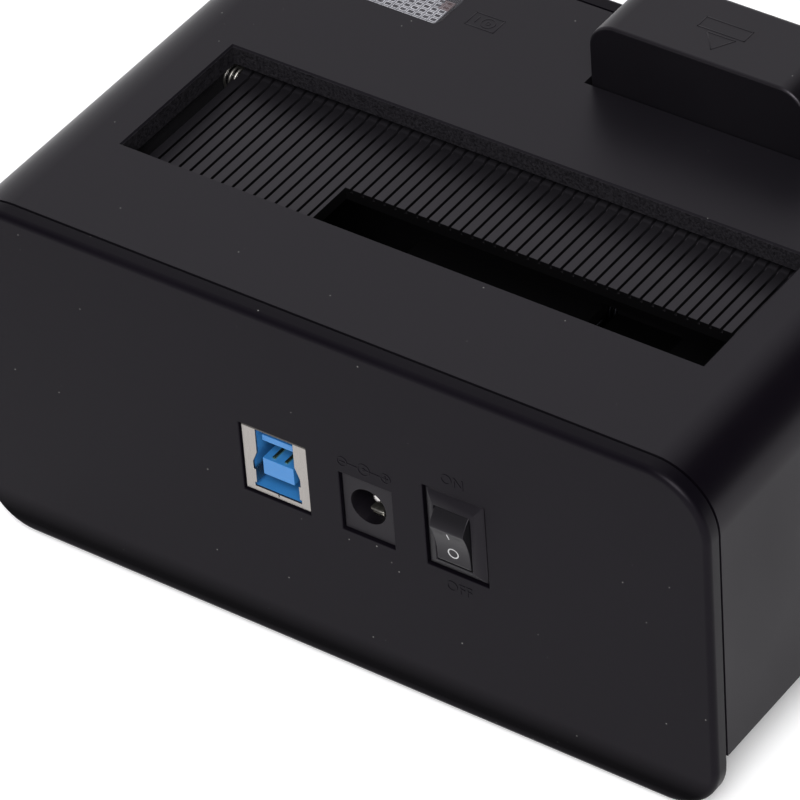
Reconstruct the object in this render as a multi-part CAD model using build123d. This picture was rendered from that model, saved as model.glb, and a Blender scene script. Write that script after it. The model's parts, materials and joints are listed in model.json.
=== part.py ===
from build123d import *
import math
import os

# A single bay docking station for bare hard drives, stood on its rubber feet.
# X runs across the dock, Y towards the rear panel with the sockets, Z up. All lengths are in millimetres.

os.makedirs("parts", exist_ok=True)

# General play between pieces
overrun = 1.0
seat_gap = 0.3
slip_fit = 0.15
bearing_play = 0.05
finger_play = 0.4

# Layout of the top, from the rear face to the front: strip, well, strip, button, strip
rear_strip = 23.5
well_length = 28.8
middle_strip = 19.4
button_length = 15.6
front_strip = 4.7
well_width = 104.2
side_strip = 15.6

# Overall body
body_width = well_width + 2 * side_strip
body_depth = rear_strip + well_length + middle_strip + button_length + front_strip
panel_height = 63.7
foot_proud = 0.8
top_corner_r = 10.5
bottom_corner_r = 9.0

# Top shell, a wrap of three sides between the two end panels
shell_wall = 3.0
top_wall = 3.5
side_lift = 10.5

# End panels
panel_thickness = 2.9
panel_edge_r = 1.1
parting_groove = 0.4
rim_depth = 1.2
rim_wall = 1.6

# Bottom cover, a tub set in from the sides, with a ledge that closes the shell
cover_wall = 2.0
cover_inset = 7.0
cover_taper = 1.2
cover_edge_r = 1.8
cover_lift = 1.0

# Rubber feet
foot_r = 5.0
foot_sink = 0.8
foot_edge = 0.6
foot_inset_x = 22.7
foot_inset_y = 18.0

# Cover screws and the pillars that they draw together
screw_inset_x = 13.7
screw_inset_y = 9.0
screw_head_r = 2.6
screw_head_h = 1.8
screw_shank_r = 1.3
screw_length = 12.0
screw_well_depth = 4.2
pillar_wall = 1.3
boss_r = 3.0

# Drive well in the top
well_shift_x = -0.3
well_chamfer = 0.3

# Drive cradle under the well
cradle_wall = 1.8
drive_floor_drop = 27.0
cradle_side_play = 0.5
front_recess = 2.0
trough_recess = 4.7
spring_room = 2.8
cradle_tab_r = 2.6
cradle_tab_h = 2.0
cradle_boss_r = 2.4
cradle_boss_length = 9.0
cradle_tab_inset = 4.4
cradle_tab_spacing = 16.0
tab_screw_length = 7.0
tab_screw_head_r = 2.1
tab_screw_head_h = 1.3
tab_screw_shank_r = 1.0

# Drive flap
flap_drop = 5.5
flap_plate = 2.2
flap_end_gap = 0.65
flap_near_gap = 0.8
rib_pitch = 2.0
groove_width = 0.5
groove_depth = 0.7
rib_edge = 0.12
barrel_r = 2.6
barrel_lift = 0.4
hinge_setback = 1.7
laptop_slot_width = 72.9
laptop_slot_length = 13.8
flap_lug_width = 0.9
flap_lug_reach = 1.5

# Flap pin and its return spring
hinge_pin_r = 0.9
pin_head_r = 1.6
pin_head_h = 0.8
flap_coil_r = 1.8
flap_wire_r = 0.225
flap_coil_pitch = 0.88
flap_spring_leg = 4.0
flap_stop_leg = 7.0
flap_stop_leg_deg = 12.0

# Eject button
button_width = 38.6
button_from_side = 46.8
button_proud = 12.0
button_corner_r = 4.8
button_wall = 1.8
button_front_r = 1.2
button_rear_r = 0.5
button_end_gap = 1.0
button_side_gap = 0.3
button_travel = 8.5
guide_depth = 7.0
guide_wall = 1.4
skirt_below_guide = 3.0
hook_reach = 1.1
hook_height = 2.4
leg_width = 10.0
leg_thickness = 2.0
leg_setback = 7.3
leg_foot_lead = 1.5
leg_foot_reach = 2.5
leg_gusset = 6.0

# Eject arm, a level lever under the cradle that the button tips
arm_width = 13.0
arm_thickness = 3.2
arm_pivot_setback = 3.9
arm_pivot_drop = 4.5
arm_nose_r = 2.0
arm_toe_reach = 14.0
arm_toe_length = 4.0
arm_hub_r = 3.0
arm_toe_gap = 0.2
arm_side_gap = 0.4
arm_slot_rise = 2.9
arm_lug_reach = 9.0
arm_lug_length = 2.4
ear_thickness = 2.0
ear_r = 3.2
ear_rise = 8.0
arm_pin_r = 1.0
arm_coil_r = 2.0
arm_wire_r = 0.3
arm_coil_pitch = 1.05
arm_coil_turns = 3
arm_spring_leg = 8.0
arm_stop_leg = 3.2
stop_nub_height = 1.2

# Light window in the top
window_length = 22.0
window_width = 8.2
window_from_side = 18.4
window_setback = 0.9
window_r = 1.3
window_fit = 0.1
window_flange = 0.8
window_flange_h = 1.0
diffuser_height = 4.0
diffuser_wall = 0.9
diffuser_rib_count = 5
light_board_h = 1.2
lamp_size = 2.8
lamp_height = 1.2
lamp_pitch = 6.5
window_rib_wall = 1.2

# Lead from the lights to the main board
lead_r = 1.1
lead_header_length = 7.5
lead_header_width = 4.5
lead_header_height = 5.0
lead_header_from_pocket = 11.85
lead_header_inset = 3.5
lead_low_run = 2.5
lead_bend_r = 5.0

# Main board
board_thickness = 1.6
board_gap_under_floor = 6.7
board_side_gap = 6.1
board_front_inset = 7.4
board_rear_gap = 2.2
standoff_r = 2.6
standoff_inset_x = 8.0
standoff_front_inset = 10.3
standoff_rear_inset = 4.3
standoff_from_pocket = 5.85
board_screw_length = 6.0

# Drive connector
connector_from_side = 45.2
connector_wall_gap = 4.0
connector_width = 43.4
connector_depth = 6.4
connector_head_width = 40.3
connector_head_depth = 4.6
connector_rise = 4.9
connector_play = 0.5
key_slot = 1.3
key_hook = 1.2
data_slot_width = 10.2
power_slot_width = 21.4
slot_spacing = 3.3
slot_depth = 6.0
contact_pitch = 1.27
contact_width = 0.7
contact_thickness = 0.35
data_contacts = 7
power_contacts = 15

# Ports in the rear panel: place from the board's right end, and opening
port_play = 0.2
port_board_gap = 0.1
usb_from_end = 55.2
usb_width = 12.3
usb_height = 13.1
usb_depth = 16.0
usb_recess = 0.4
sheet = 0.35
usb_upper_width = 6.9
usb_lower_width = 8.6
usb_shoulder_drop = 5.0
usb_shoulder_slope = 2.0
usb_bottom_lip = 0.9
usb_top_lip = 0.9
usb_tongue_width = 5.6
usb_tongue_height = 3.15
usb_tongue_drop = 6.0
usb_bridge_drop = 1.7
usb_bridge_height = 1.1
usb_cavity_depth = 9.5
usb_floor_wall = 0.8
usb_finger_length = 3.0
usb_finger_height = 2.6
usb_seam = 0.2
usb_contact_width = 0.55
usb_contact_thickness = 0.25
usb_contact_length = 6.0

dc_from_end = 38.5
dc_width = 9.5
dc_height = 11.2
dc_depth = 13.5
dc_recess = 0.5
dc_bore_r = 3.15
dc_bore_depth = 9.5
dc_bore_drop = 5.2
dc_pin_r = 1.0
dc_pin_recess = 2.1
dc_contact_width = 2.0
dc_contact_thickness = 0.4

switch_from_end = 22.5
switch_width = 11.0
switch_height = 15.4
switch_depth = 13.0
bezel_recess = 0.45
bezel_proud = 0.65
bezel_land = 0.25
rocker_opening_width = 6.3
rocker_opening_height = 10.3
rocker_play = 0.15
rocker_pivot_depth = 4.5
rocker_face_sag = 0.5
rocker_swing_deg = 24.0
rocker_half_deg = 34.0
rocker_pin_r = 1.0
rocker_pin_length = 0.8
rocker_web = 3.0
terminal_pitch = 4.0
terminal_count = 3
terminal_width = 1.6
terminal_thickness = 0.6
terminal_reach = 3.0

# Parts on the main board
chip_size = 7.0
chip_height = 0.9
chip_gap = 0.9
capacitor_r = 3.15
capacitor_height = 5.4
capacitor_edge = 0.5
capacitor_pitch = 7.6
capacitor_side_inset = 9.0
capacitor_inset = 12.0
coil_size = 7.0
coil_height = 4.0
coil_corner_r = 1.2
coil_side_inset = 9.0
crystal_length = 11.0
crystal_width = 4.6
crystal_height = 3.4
crystal_from_chip = 12.8

# Places worked out from the sizes above
half_width = body_width / 2
rocker_end_r = math.hypot(rocker_opening_height / 2, rocker_pivot_depth) - rocker_play
rocker_crest_deg = rocker_half_deg - rocker_swing_deg / 2
rocker_crest = rocker_end_r * math.cos(math.radians(rocker_crest_deg))
rocker_reach = bezel_proud + rocker_crest - rocker_pivot_depth
overall_depth = body_depth + rocker_reach
front_y = -overall_depth / 2
rear_y = front_y + body_depth
top_z = foot_proud + panel_height
under_top_z = top_z - top_wall
side_bottom_z = foot_proud + side_lift
shell_front_y = front_y + panel_thickness + parting_groove
shell_rear_y = rear_y - panel_thickness - parting_groove
inner_front_y = front_y + panel_thickness
inner_rear_y = rear_y - panel_thickness
cover_bottom_z = foot_proud + cover_lift

well_rear_y = rear_y - rear_strip
well_front_y = well_rear_y - well_length
well_left_x = well_shift_x + well_width / 2
well_right_x = well_shift_x - well_width / 2

hinge_y = well_front_y - hinge_setback
flap_top_z = top_z - flap_drop
hinge_z = flap_top_z + barrel_lift - barrel_r
flap_left_x = well_left_x - flap_end_gap
flap_right_x = well_right_x + flap_end_gap
flap_near_y = well_rear_y - flap_near_gap
laptop_left_x = well_right_x + laptop_slot_width
laptop_front_y = well_rear_y - laptop_slot_length

drive_floor_z = top_z - drive_floor_drop
floor_under_z = drive_floor_z - cradle_wall
cavity_left_x = flap_left_x + seat_gap + spring_room + seat_gap
cavity_right_x = well_right_x - cradle_side_play
cavity_front_y = well_front_y - front_recess
trough_front_y = well_front_y - trough_recess
trough_bottom_z = hinge_z - barrel_r - seat_gap
cradle_front_y = cavity_front_y - cradle_wall
pocket_r = math.hypot(flap_near_y - hinge_y, flap_plate) + finger_play
pocket_right_x = laptop_left_x - flap_end_gap

button_x = button_from_side - half_width
button_rear_y = well_front_y - middle_strip
button_front_y = button_rear_y - button_length
guide_bottom_z = under_top_z - guide_depth
skirt_bottom_z = guide_bottom_z - skirt_below_guide

arm_y = cradle_front_y - arm_pivot_setback
arm_z = drive_floor_z - arm_pivot_drop
leg_y = button_rear_y - leg_setback
arm_left_x = button_x + arm_width / 2
arm_right_x = button_x - arm_width / 2
arm_spring_room = arm_coil_turns * arm_coil_pitch + 2 * arm_wire_r
left_ear_x = arm_left_x + seat_gap + arm_spring_room + seat_gap
right_ear_x = arm_right_x - arm_side_gap - ear_thickness

board_half_width = well_width / 2 - board_side_gap
board_top_z = floor_under_z - board_gap_under_floor
board_bottom_z = board_top_z - board_thickness
board_front_y = cradle_front_y + board_front_inset
board_rear_y = inner_rear_y - board_rear_gap
pocket_outer_r = pocket_r + cradle_wall + seat_gap
board_step_y = hinge_y + math.sqrt(pocket_outer_r ** 2 - (hinge_z - board_top_z) ** 2)

window_rear_y = button_rear_y - window_setback
window_front_y = window_rear_y - window_width
window_end_x = half_width - window_from_side
window_start_x = window_end_x - window_length
diffuser_top_z = under_top_z - window_flange_h
diffuser_bottom_z = diffuser_top_z - diffuser_height
light_board_bottom_z = diffuser_bottom_z - light_board_h

lead_header_x = pocket_right_x - lead_header_from_pocket
connector_x = well_right_x + connector_from_side
connector_y = well_rear_y - connector_wall_gap
port_bottom_z = board_top_z + port_board_gap
usb_x = usb_from_end - board_half_width
dc_x = dc_from_end - board_half_width
switch_x = switch_from_end - board_half_width
chip_y = connector_y + connector_depth / 2 + chip_gap + chip_size / 2
bezel_top_y = rear_y + bezel_proud
rocker_y = bezel_top_y - rocker_pivot_depth
switch_z = port_bottom_z + switch_height / 2


def rect(x0, x1, y0, y1):
    """Flat rectangle between two corners."""
    return Pos((x0 + x1) / 2, (y0 + y1) / 2) * Rectangle(x1 - x0, y1 - y0)


def soft_rect(x0, x1, y0, y1, r):
    """Flat rectangle between two corners, with rounded corners."""
    return Pos((x0 + x1) / 2, (y0 + y1) / 2) * RectangleRounded(x1 - x0, y1 - y0, r)


def outline(*points):
    """Flat face inside a closed run of points."""
    return make_face(Polyline(*points, close=True))


def along_x(face, x0, x1):
    """Solid of a face drawn in Y and Z, carried from x0 to x1."""
    return extrude(Plane.YZ.offset(x0) * face, amount=x1 - x0, dir=(1, 0, 0))


def along_y(face, y0, y1):
    """Solid of a face drawn in X and Z, carried from y0 to y1."""
    return extrude(Plane.XZ.offset(-y0) * face, amount=y1 - y0, dir=(0, 1, 0))


def along_z(face, z0, z1):
    """Solid of a face drawn in X and Y, carried from z0 to z1."""
    return extrude(Plane.XY.offset(z0) * face, amount=z1 - z0, dir=(0, 0, 1))


def block(x0, x1, y0, y1, z0, z1):
    """Square-edged block between two corners."""
    return along_z(rect(x0, x1, y0, y1), z0, z1)


def rod_x(y, z, r, x0, x1):
    """Round bar along X."""
    return along_x(Pos(y, z) * Circle(r), x0, x1)


def rod_y(x, z, r, y0, y1):
    """Round bar along Y."""
    return along_y(Pos(x, z) * Circle(r), y0, y1)


def rod_z(x, y, r, z0, z1):
    """Round bar along Z."""
    return along_z(Pos(x, y) * Circle(r), z0, z1)


def corners(inset_x, inset_y):
    """Four places set in by the same amounts from the body's sides and ends."""
    x = half_width - inset_x
    return [(sx * x, y) for sx in (-1, 1) for y in (front_y + inset_y, rear_y - inset_y)]


def save(name, shape):
    """Write one sub-part, as a solid or as a group of separate solids."""
    solids = shape.solids()
    export_step(solids[0] if len(solids) == 1 else Compound(solids), f"parts/{name}.step")


def body_section(side_inset, top_inset, bottom_z, top_r):
    """The dock's section across X and Z: flat bottom, two rounded top corners."""
    half = half_width - side_inset
    face = rect(-half, half, bottom_z, top_z - top_inset)
    return fillet(face.vertices().group_by(Axis.Y)[-1], top_r)


# Outer housing

def well_face(grow):
    """Outline of the drive well, grown on every side."""
    return rect(well_right_x - grow, well_left_x + grow, well_front_y - grow, well_rear_y + grow)


def button_hole_face(wall):
    """Outline of the button's guide, with a wall round it on the sides and the rear."""
    gap_x = button_width / 2 + button_end_gap + wall
    front = max(button_front_y - button_side_gap - wall, shell_front_y)
    hole_front = button_front_y - button_side_gap
    rear = button_rear_y + button_side_gap + wall
    return rect(button_x - gap_x, button_x + gap_x, front if wall > 0 else hole_front, rear)


def window_face(grow):
    """Outline of the light window, grown on every side."""
    return soft_rect(
        window_start_x - grow,
        window_end_x + grow,
        window_front_y - grow,
        window_rear_y + grow,
        window_r + grow,
    )


def shell_bosses():
    """Pillars inside the shell for the cover screws and, by the cradle, for its tabs."""
    pillar_top = cover_bottom_z + screw_well_depth + cover_wall
    reach = screw_length - cover_wall + overrun
    bosses = []
    holes = []
    for x, y in corners(screw_inset_x, screw_inset_y):
        bosses.append(rod_z(x, y, boss_r, pillar_top, top_z - top_wall / 2))
        holes.append(rod_z(x, y, screw_shank_r + bearing_play, pillar_top - overrun, pillar_top + reach))
    for x, y in cradle_tab_places():
        low = under_top_z - cradle_boss_length
        deep = low + tab_screw_length - cradle_tab_h + overrun
        bosses.append(rod_z(x, y, cradle_boss_r, low, top_z - top_wall / 2))
        holes.append(rod_z(x, y, tab_screw_shank_r + bearing_play, low - overrun, deep))
    return bosses, holes


def make_top_shell():
    """Top and two sides in one wrap, with the well, the button's guide and the window."""
    outer = body_section(0, 0, side_bottom_z, top_corner_r)
    inner = body_section(shell_wall, top_wall, side_bottom_z - overrun, top_corner_r - shell_wall)
    shell = along_y(outer - inner, shell_front_y, shell_rear_y)
    guide = along_z(button_hole_face(guide_wall), guide_bottom_z, top_z - top_wall / 2)
    frame_low = diffuser_bottom_z + window_flange_h
    frame = along_z(window_face(window_flange + window_rib_wall), frame_low, top_z - top_wall / 2)
    bosses, holes = shell_bosses()
    shell += [guide, frame] + bosses
    cuts = [
        along_z(well_face(0), under_top_z - overrun, top_z + overrun),
        along_z(button_hole_face(0), guide_bottom_z - overrun, top_z + overrun),
        along_z(window_face(window_fit), under_top_z - overrun, top_z + overrun),
        along_z(window_face(window_flange + window_fit), frame_low - overrun, under_top_z),
    ]
    shell -= cuts + holes
    reach = well_width + well_length
    lip = [
        edge
        for edge in shell.edges().group_by(Axis.Z)[-1]
        if well_front_y - slip_fit < edge.center().Y < well_rear_y + slip_fit
        and abs(edge.center().X - well_shift_x) < well_width / 2 + slip_fit
        and edge.length < reach
    ]
    return chamfer(lip, well_chamfer)


def end_panel(outer_y, inner_y, side):
    """Plate that closes one end; side is 1 at the rear and -1 at the front."""
    low, high = min(outer_y, inner_y), max(outer_y, inner_y)
    face = body_section(0, 0, foot_proud, top_corner_r)
    face = fillet(face.vertices().group_by(Axis.Y)[0], bottom_corner_r)
    plate = along_y(face, low, high)
    outer_face = plate.faces().sort_by(Axis.Y)[-1 if side > 0 else 0]
    plate = fillet(outer_face.edges(), panel_edge_r)
    rim_fit = shell_wall + slip_fit
    rim_low = side_bottom_z + cover_wall + seat_gap
    rim = body_section(rim_fit, top_wall + slip_fit, rim_low, top_corner_r - rim_fit)
    hollow = body_section(
        rim_fit + rim_wall,
        top_wall + slip_fit + rim_wall,
        side_bottom_z - overrun,
        top_corner_r - rim_fit - rim_wall,
    )
    rim_far = inner_y - side * rim_depth - side * parting_groove
    return plate + along_y(rim - hollow, min(inner_y, rim_far), max(inner_y, rim_far))


def port_openings():
    """Each port's cut-out in the rear panel, as a face in X and Z."""
    return [
        rect(x - width / 2, x + width / 2, port_bottom_z - port_play, port_bottom_z + height - port_play)
        for x, width, height in (
            (usb_x, usb_width, usb_height),
            (dc_x, dc_width, dc_height),
            (switch_x, switch_width, switch_height),
        )
    ]


def make_rear_panel():
    """Rear panel with its three cut-outs."""
    panel = end_panel(rear_y, inner_rear_y, 1)
    return panel - [along_y(face, inner_rear_y - overrun, rear_y + overrun) for face in port_openings()]


def make_front_panel():
    """Plain front panel, its rim cut back for the button's guide."""
    panel = end_panel(front_y, inner_front_y, -1)
    half = button_width / 2 + button_end_gap + guide_wall + seat_gap
    relief = block(
        button_x - half,
        button_x + half,
        inner_front_y,
        shell_front_y + rim_depth + overrun,
        guide_bottom_z - overrun,
        top_z,
    )
    return panel - relief


def cover_tub(inset, floor_z, edge_r):
    """Section of the tub below the ledge: sides that lean in, rounded into a flat floor."""
    ledge_x = half_width - cover_inset - inset
    floor_x = ledge_x - cover_taper
    top = side_bottom_z + cover_wall
    face = outline((-ledge_x, top), (-floor_x, floor_z), (floor_x, floor_z), (ledge_x, top))
    return fillet(face.vertices().group_by(Axis.Y)[0], edge_r)


def make_bottom_cover():
    """Tub with ledges that close the shell's sides, screw wells and seats for the feet."""
    low, high = inner_front_y + seat_gap, inner_rear_y - seat_gap
    ledge_x = half_width - shell_wall - slip_fit
    ledge = rect(-ledge_x, ledge_x, side_bottom_z, side_bottom_z + cover_wall)
    cover = along_y(ledge + cover_tub(0, cover_bottom_z, cover_edge_r), low, high)
    hollow = cover_tub(cover_wall, cover_bottom_z + cover_wall, cover_edge_r)
    cover -= along_y(hollow, low + cover_wall, high - cover_wall)
    well_r = screw_head_r + seat_gap
    seat_z = cover_bottom_z + screw_well_depth
    pillars = []
    cuts = []
    for x, y in corners(screw_inset_x, screw_inset_y):
        pillars.append(rod_z(x, y, well_r + pillar_wall, cover_bottom_z + cover_wall / 2, seat_z + cover_wall))
        cuts.append(rod_z(x, y, well_r, cover_bottom_z - overrun, seat_z))
        cuts.append(rod_z(x, y, screw_shank_r + slip_fit, seat_z - overrun, seat_z + cover_wall + overrun))
    for x, y in corners(foot_inset_x, foot_inset_y):
        cuts.append(rod_z(x, y, foot_r + slip_fit, cover_bottom_z - overrun, cover_bottom_z + foot_sink))
    return cover + pillars - cuts


def make_rubber_feet():
    """Four round pads, bevelled where they meet the desk."""
    feet = []
    for x, y in corners(foot_inset_x, foot_inset_y):
        foot = rod_z(x, y, foot_r, 0, cover_bottom_z + foot_sink)
        feet.append(chamfer(foot.edges().group_by(Axis.Z)[0], foot_edge))
    return Compound([foot.solids()[0] for foot in feet])


def screw_up(x, y, seat_z, head_r, head_h, shank_r, length):
    """Pan head screw driven upwards, its head's bearing face at seat_z."""
    edge = head_h / 3
    head = outline(
        (0, -head_h), (head_r - edge, -head_h), (head_r, -head_h + edge), (head_r, 0), (0, 0)
    )
    tip = shank_r / 2
    shank = outline((0, 0), (shank_r, 0), (shank_r, length - tip), (tip, length), (0, length))
    return Pos(x, y, seat_z) * revolve(Plane.XZ * (head + shank), Axis.Z)


def make_cover_screws():
    """Four screws up through the bottom cover into the shell's pillars."""
    seat_z = cover_bottom_z + screw_well_depth
    places = corners(screw_inset_x, screw_inset_y)
    screws = [
        screw_up(x, y, seat_z, screw_head_r, screw_head_h, screw_shank_r, screw_length) for x, y in places
    ]
    return Compound([screw.solids()[0] for screw in screws])


# Drive bay

def cavity_face(grow):
    """Section of the bay's hollow in Y and Z, with the trough for the flap's barrel."""
    step = trough_recess - front_recess
    return outline(
        (well_rear_y + grow, top_z),
        (well_rear_y + grow, drive_floor_z - grow),
        (cavity_front_y - grow, drive_floor_z - grow),
        (cavity_front_y - grow, trough_bottom_z - step),
        (trough_front_y - grow, trough_bottom_z),
        (trough_front_y - grow, top_z),
    )


def cradle_tab_places():
    """Centres of the cradle's four screw tabs, two at each end."""
    x = half_width - shell_wall - cradle_tab_inset
    y = (well_front_y + well_rear_y) / 2
    return [(sx * x, y + sy * cradle_tab_spacing / 2) for sx in (-1, 1) for sy in (-1, 1)]


def standoff_places():
    """Centres of the four posts that carry the main board, clear of the flap's pocket."""
    front = cradle_front_y + standoff_front_inset
    rear = well_rear_y - standoff_rear_inset
    half = board_half_width - standoff_inset_x
    return [(-half, front), (pocket_right_x - standoff_from_pocket, front), (-half, rear), (half, rear)]


def pocket_face(grow, top):
    """Section in Y and Z of the curved pocket that the flap's long part swings down into."""
    reach = pocket_r + grow + overrun
    keep = rect(cavity_front_y - grow, hinge_y + reach, hinge_z - reach, top)
    return Pos(hinge_y, hinge_z) * Circle(pocket_r + grow) & keep


def arm_ear(x0, x1):
    """Ear on the cradle's front that carries one end of the arm's pin."""
    back = cradle_front_y + cradle_wall / 2
    rise = arm_z + ear_rise
    plate = outline(
        (back, rise),
        (back, floor_under_z),
        (arm_y, arm_z - ear_r),
        (arm_y - ear_r, arm_z),
        (arm_y - ear_r, arm_z + ear_r),
    )
    return along_x(plate, x0, x1) + rod_x(arm_y, arm_z, ear_r, x0, x1)


def cradle_cuts():
    """Everything taken out of the cradle's moulding."""
    slot_low = arm_right_x - arm_side_gap - finger_play
    slot_high = arm_left_x + arm_side_gap + finger_play
    toe_end = arm_y + arm_toe_reach + arm_toe_length + finger_play
    half = connector_head_width / 2 + connector_play
    deep = connector_head_depth / 2 + connector_play
    cuts = [
        along_x(cavity_face(0), cavity_right_x, cavity_left_x),
        along_x(pocket_face(0, drive_floor_z + overrun), pocket_right_x, cavity_left_x),
        block(slot_low, slot_high, cavity_front_y, toe_end, floor_under_z - overrun, drive_floor_z + overrun),
        block(
            slot_low, slot_high, cradle_front_y - overrun, cavity_front_y + overrun,
            floor_under_z - overrun, floor_under_z + arm_slot_rise,
        ),
        block(
            connector_x - half, connector_x + half, connector_y - deep, connector_y + deep,
            floor_under_z - overrun, drive_floor_z + overrun,
        ),
        rod_x(
            hinge_y, hinge_z, hinge_pin_r + bearing_play,
            cavity_right_x - cradle_wall - overrun, cavity_left_x + cradle_wall + overrun,
        ),
        rod_x(arm_y, arm_z, arm_pin_r + bearing_play, right_ear_x - overrun, left_ear_x + ear_thickness + overrun),
    ]
    for x, y in cradle_tab_places():
        cuts.append(rod_z(x, y, tab_screw_shank_r + slip_fit, 0, top_z))
    for x, y in standoff_places():
        deep_z = board_top_z + board_screw_length - board_thickness + seat_gap
        cuts.append(rod_z(x, y, tab_screw_shank_r + bearing_play, board_top_z - overrun, deep_z))
    return cuts


def make_drive_cradle():
    """Bay moulding: walls, floor, flap pocket, screw tabs, board posts and the arm's ears."""
    outer_right_x = cavity_right_x - cradle_wall
    outer_left_x = cavity_left_x + cradle_wall
    box = along_x(cavity_face(cradle_wall), outer_right_x, outer_left_x)
    above = block(-half_width, half_width, front_y, rear_y, under_top_z, top_z + overrun)
    pocket = along_x(pocket_face(cradle_wall, drive_floor_z), pocket_right_x - cradle_wall, outer_left_x)
    additions = [pocket]
    tab_low = under_top_z - cradle_boss_length - cradle_tab_h
    for x, y in cradle_tab_places():
        root = outer_left_x - cradle_wall / 2 if x > 0 else outer_right_x + cradle_wall / 2
        arm = rect(min(x, root), max(x, root), y - cradle_tab_r, y + cradle_tab_r)
        additions.append(along_z(arm + Pos(x, y) * Circle(cradle_tab_r), tab_low, tab_low + cradle_tab_h))
    for x, y in standoff_places():
        additions.append(rod_z(x, y, standoff_r, board_top_z, floor_under_z + cradle_wall / 2))
    additions.append(arm_ear(right_ear_x, right_ear_x + ear_thickness))
    additions.append(arm_ear(left_ear_x, left_ear_x + ear_thickness))
    nub_low = arm_z - arm_coil_r + arm_wire_r + slip_fit
    nub_end = arm_y + arm_stop_leg
    additions.append(
        block(
            left_ear_x - arm_wire_r - seat_gap, left_ear_x + ear_thickness / 2,
            nub_end - stop_nub_height, nub_end, nub_low, nub_low + stop_nub_height,
        )
    )
    return (box + additions) - above - cradle_cuts()


def make_cradle_screws():
    """Four small screws up through the cradle's tabs."""
    seat_z = under_top_z - cradle_boss_length - cradle_tab_h
    screws = [
        screw_up(x, y, seat_z, tab_screw_head_r, tab_screw_head_h, tab_screw_shank_r, tab_screw_length)
        for x, y in cradle_tab_places()
    ]
    return Compound([screw.solids()[0] for screw in screws])


# Drive flap and its hinge

def flap_profile(depth, near_y):
    """Section of the flap in Y and Z, its top and barrel taken down by depth."""
    plate = rect(hinge_y, near_y, flap_top_z - flap_plate, flap_top_z - depth)
    return plate + Pos(hinge_y, hinge_z) * Circle(barrel_r - depth)


def make_drive_flap():
    """Ribbed flap with a hinge barrel and the notch that leaves the laptop drive's slot open."""
    core = along_x(flap_profile(groove_depth, flap_near_y), flap_right_x, flap_left_x)
    rib_width = rib_pitch - groove_width
    rib_count = int((flap_left_x - flap_right_x + groove_width) / rib_pitch)
    ribs = []
    for index in range(rib_count):
        left = flap_left_x - index * rib_pitch
        ribs.append(along_x(flap_profile(0, flap_near_y), left - rib_width, left))
    flap = core + ribs
    notch = block(
        flap_right_x - overrun, laptop_left_x, laptop_front_y, flap_near_y + overrun,
        flap_top_z - flap_plate - overrun, flap_top_z + overrun,
    )
    flap -= notch
    lug_top = flap_top_z - groove_depth
    lug_low = hinge_z - flap_coil_r + flap_wire_r + slip_fit
    lug_far = hinge_y + flap_spring_leg - slip_fit
    lug = block(
        flap_left_x - flap_lug_width, flap_left_x + flap_lug_width,
        lug_far - flap_lug_reach, lug_far, lug_low, lug_top,
    )
    flap += lug
    return flap - rod_x(
        hinge_y, hinge_z, hinge_pin_r + bearing_play, flap_right_x - overrun, flap_left_x + overrun
    )


def make_flap_pin():
    """Steel pin through the flap's barrel, headed at one end."""
    left = cavity_left_x + cradle_wall
    right = cavity_right_x - cradle_wall
    head = rod_x(hinge_y, hinge_z, pin_head_r, left, left + pin_head_h)
    return rod_x(hinge_y, hinge_z, hinge_pin_r, right - pin_head_h, left) + head


def arc_pair(start, start_way, end, end_way):
    """Two arcs that leave start and reach end in the given directions and meet smoothly."""
    chord = end - start
    ways = start_way + end_way
    closing = 2 * (1 - start_way.dot(end_way))
    along = chord.dot(ways)
    reach = (math.sqrt(along * along + closing * chord.dot(chord)) - along) / closing
    before = start + start_way * reach
    after = end - end_way * reach
    middle = (before + after) * 0.5
    first = TangentArc(start, middle, tangent=start_way)
    second = TangentArc(middle, end, tangent=(after - before).normalized())
    return [first, second]


def torsion_spring(name, y, z, x, coil_r, wire_r, pitch, start_deg, sweep_deg, legs):
    """Wound wire about X with two straight legs; legs holds the two lengths."""
    steps = max(1, round(abs(sweep_deg) / 90))
    turn = math.copysign(1, sweep_deg)

    def place(share):
        angle = math.radians(start_deg + sweep_deg * share)
        across = pitch * abs(sweep_deg) / 360 * share
        return Vector(x + across, y + coil_r * math.cos(angle), z + coil_r * math.sin(angle))

    def way(share):
        angle = math.radians(start_deg + sweep_deg * share)
        climb = 0 if share in (0, 1) else pitch / (2 * math.pi * coil_r)
        return Vector(climb, -turn * math.sin(angle), turn * math.cos(angle)).normalized()

    shares = [index / steps for index in range(steps + 1)]
    lead_in, lead_out = legs
    edges = [Line(place(0) - way(0) * lead_in, place(0))]
    for first, last in zip(shares, shares[1:]):
        edges += arc_pair(place(first), way(first), place(last), way(last))
    edges.append(Line(place(1), place(1) + way(1) * lead_out))
    path = Wire([edge.edge() for edge in edges])
    print(name, "least gap between turns", round(pitch - 2 * wire_r, 3))
    section = Plane(origin=path @ 0, z_dir=path % 0) * Circle(wire_r)
    return sweep(section, path=path)


def make_flap_spring():
    """Return spring on the flap's pin: one leg under the flap's lug, one against the front wall."""
    return torsion_spring(
        "flap_spring", hinge_y, hinge_z, flap_left_x + seat_gap + flap_wire_r, flap_coil_r, flap_wire_r,
        flap_coil_pitch, -90, -(270 + flap_stop_leg_deg + 720), (flap_spring_leg, flap_stop_leg),
    )


# Eject mechanism

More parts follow.
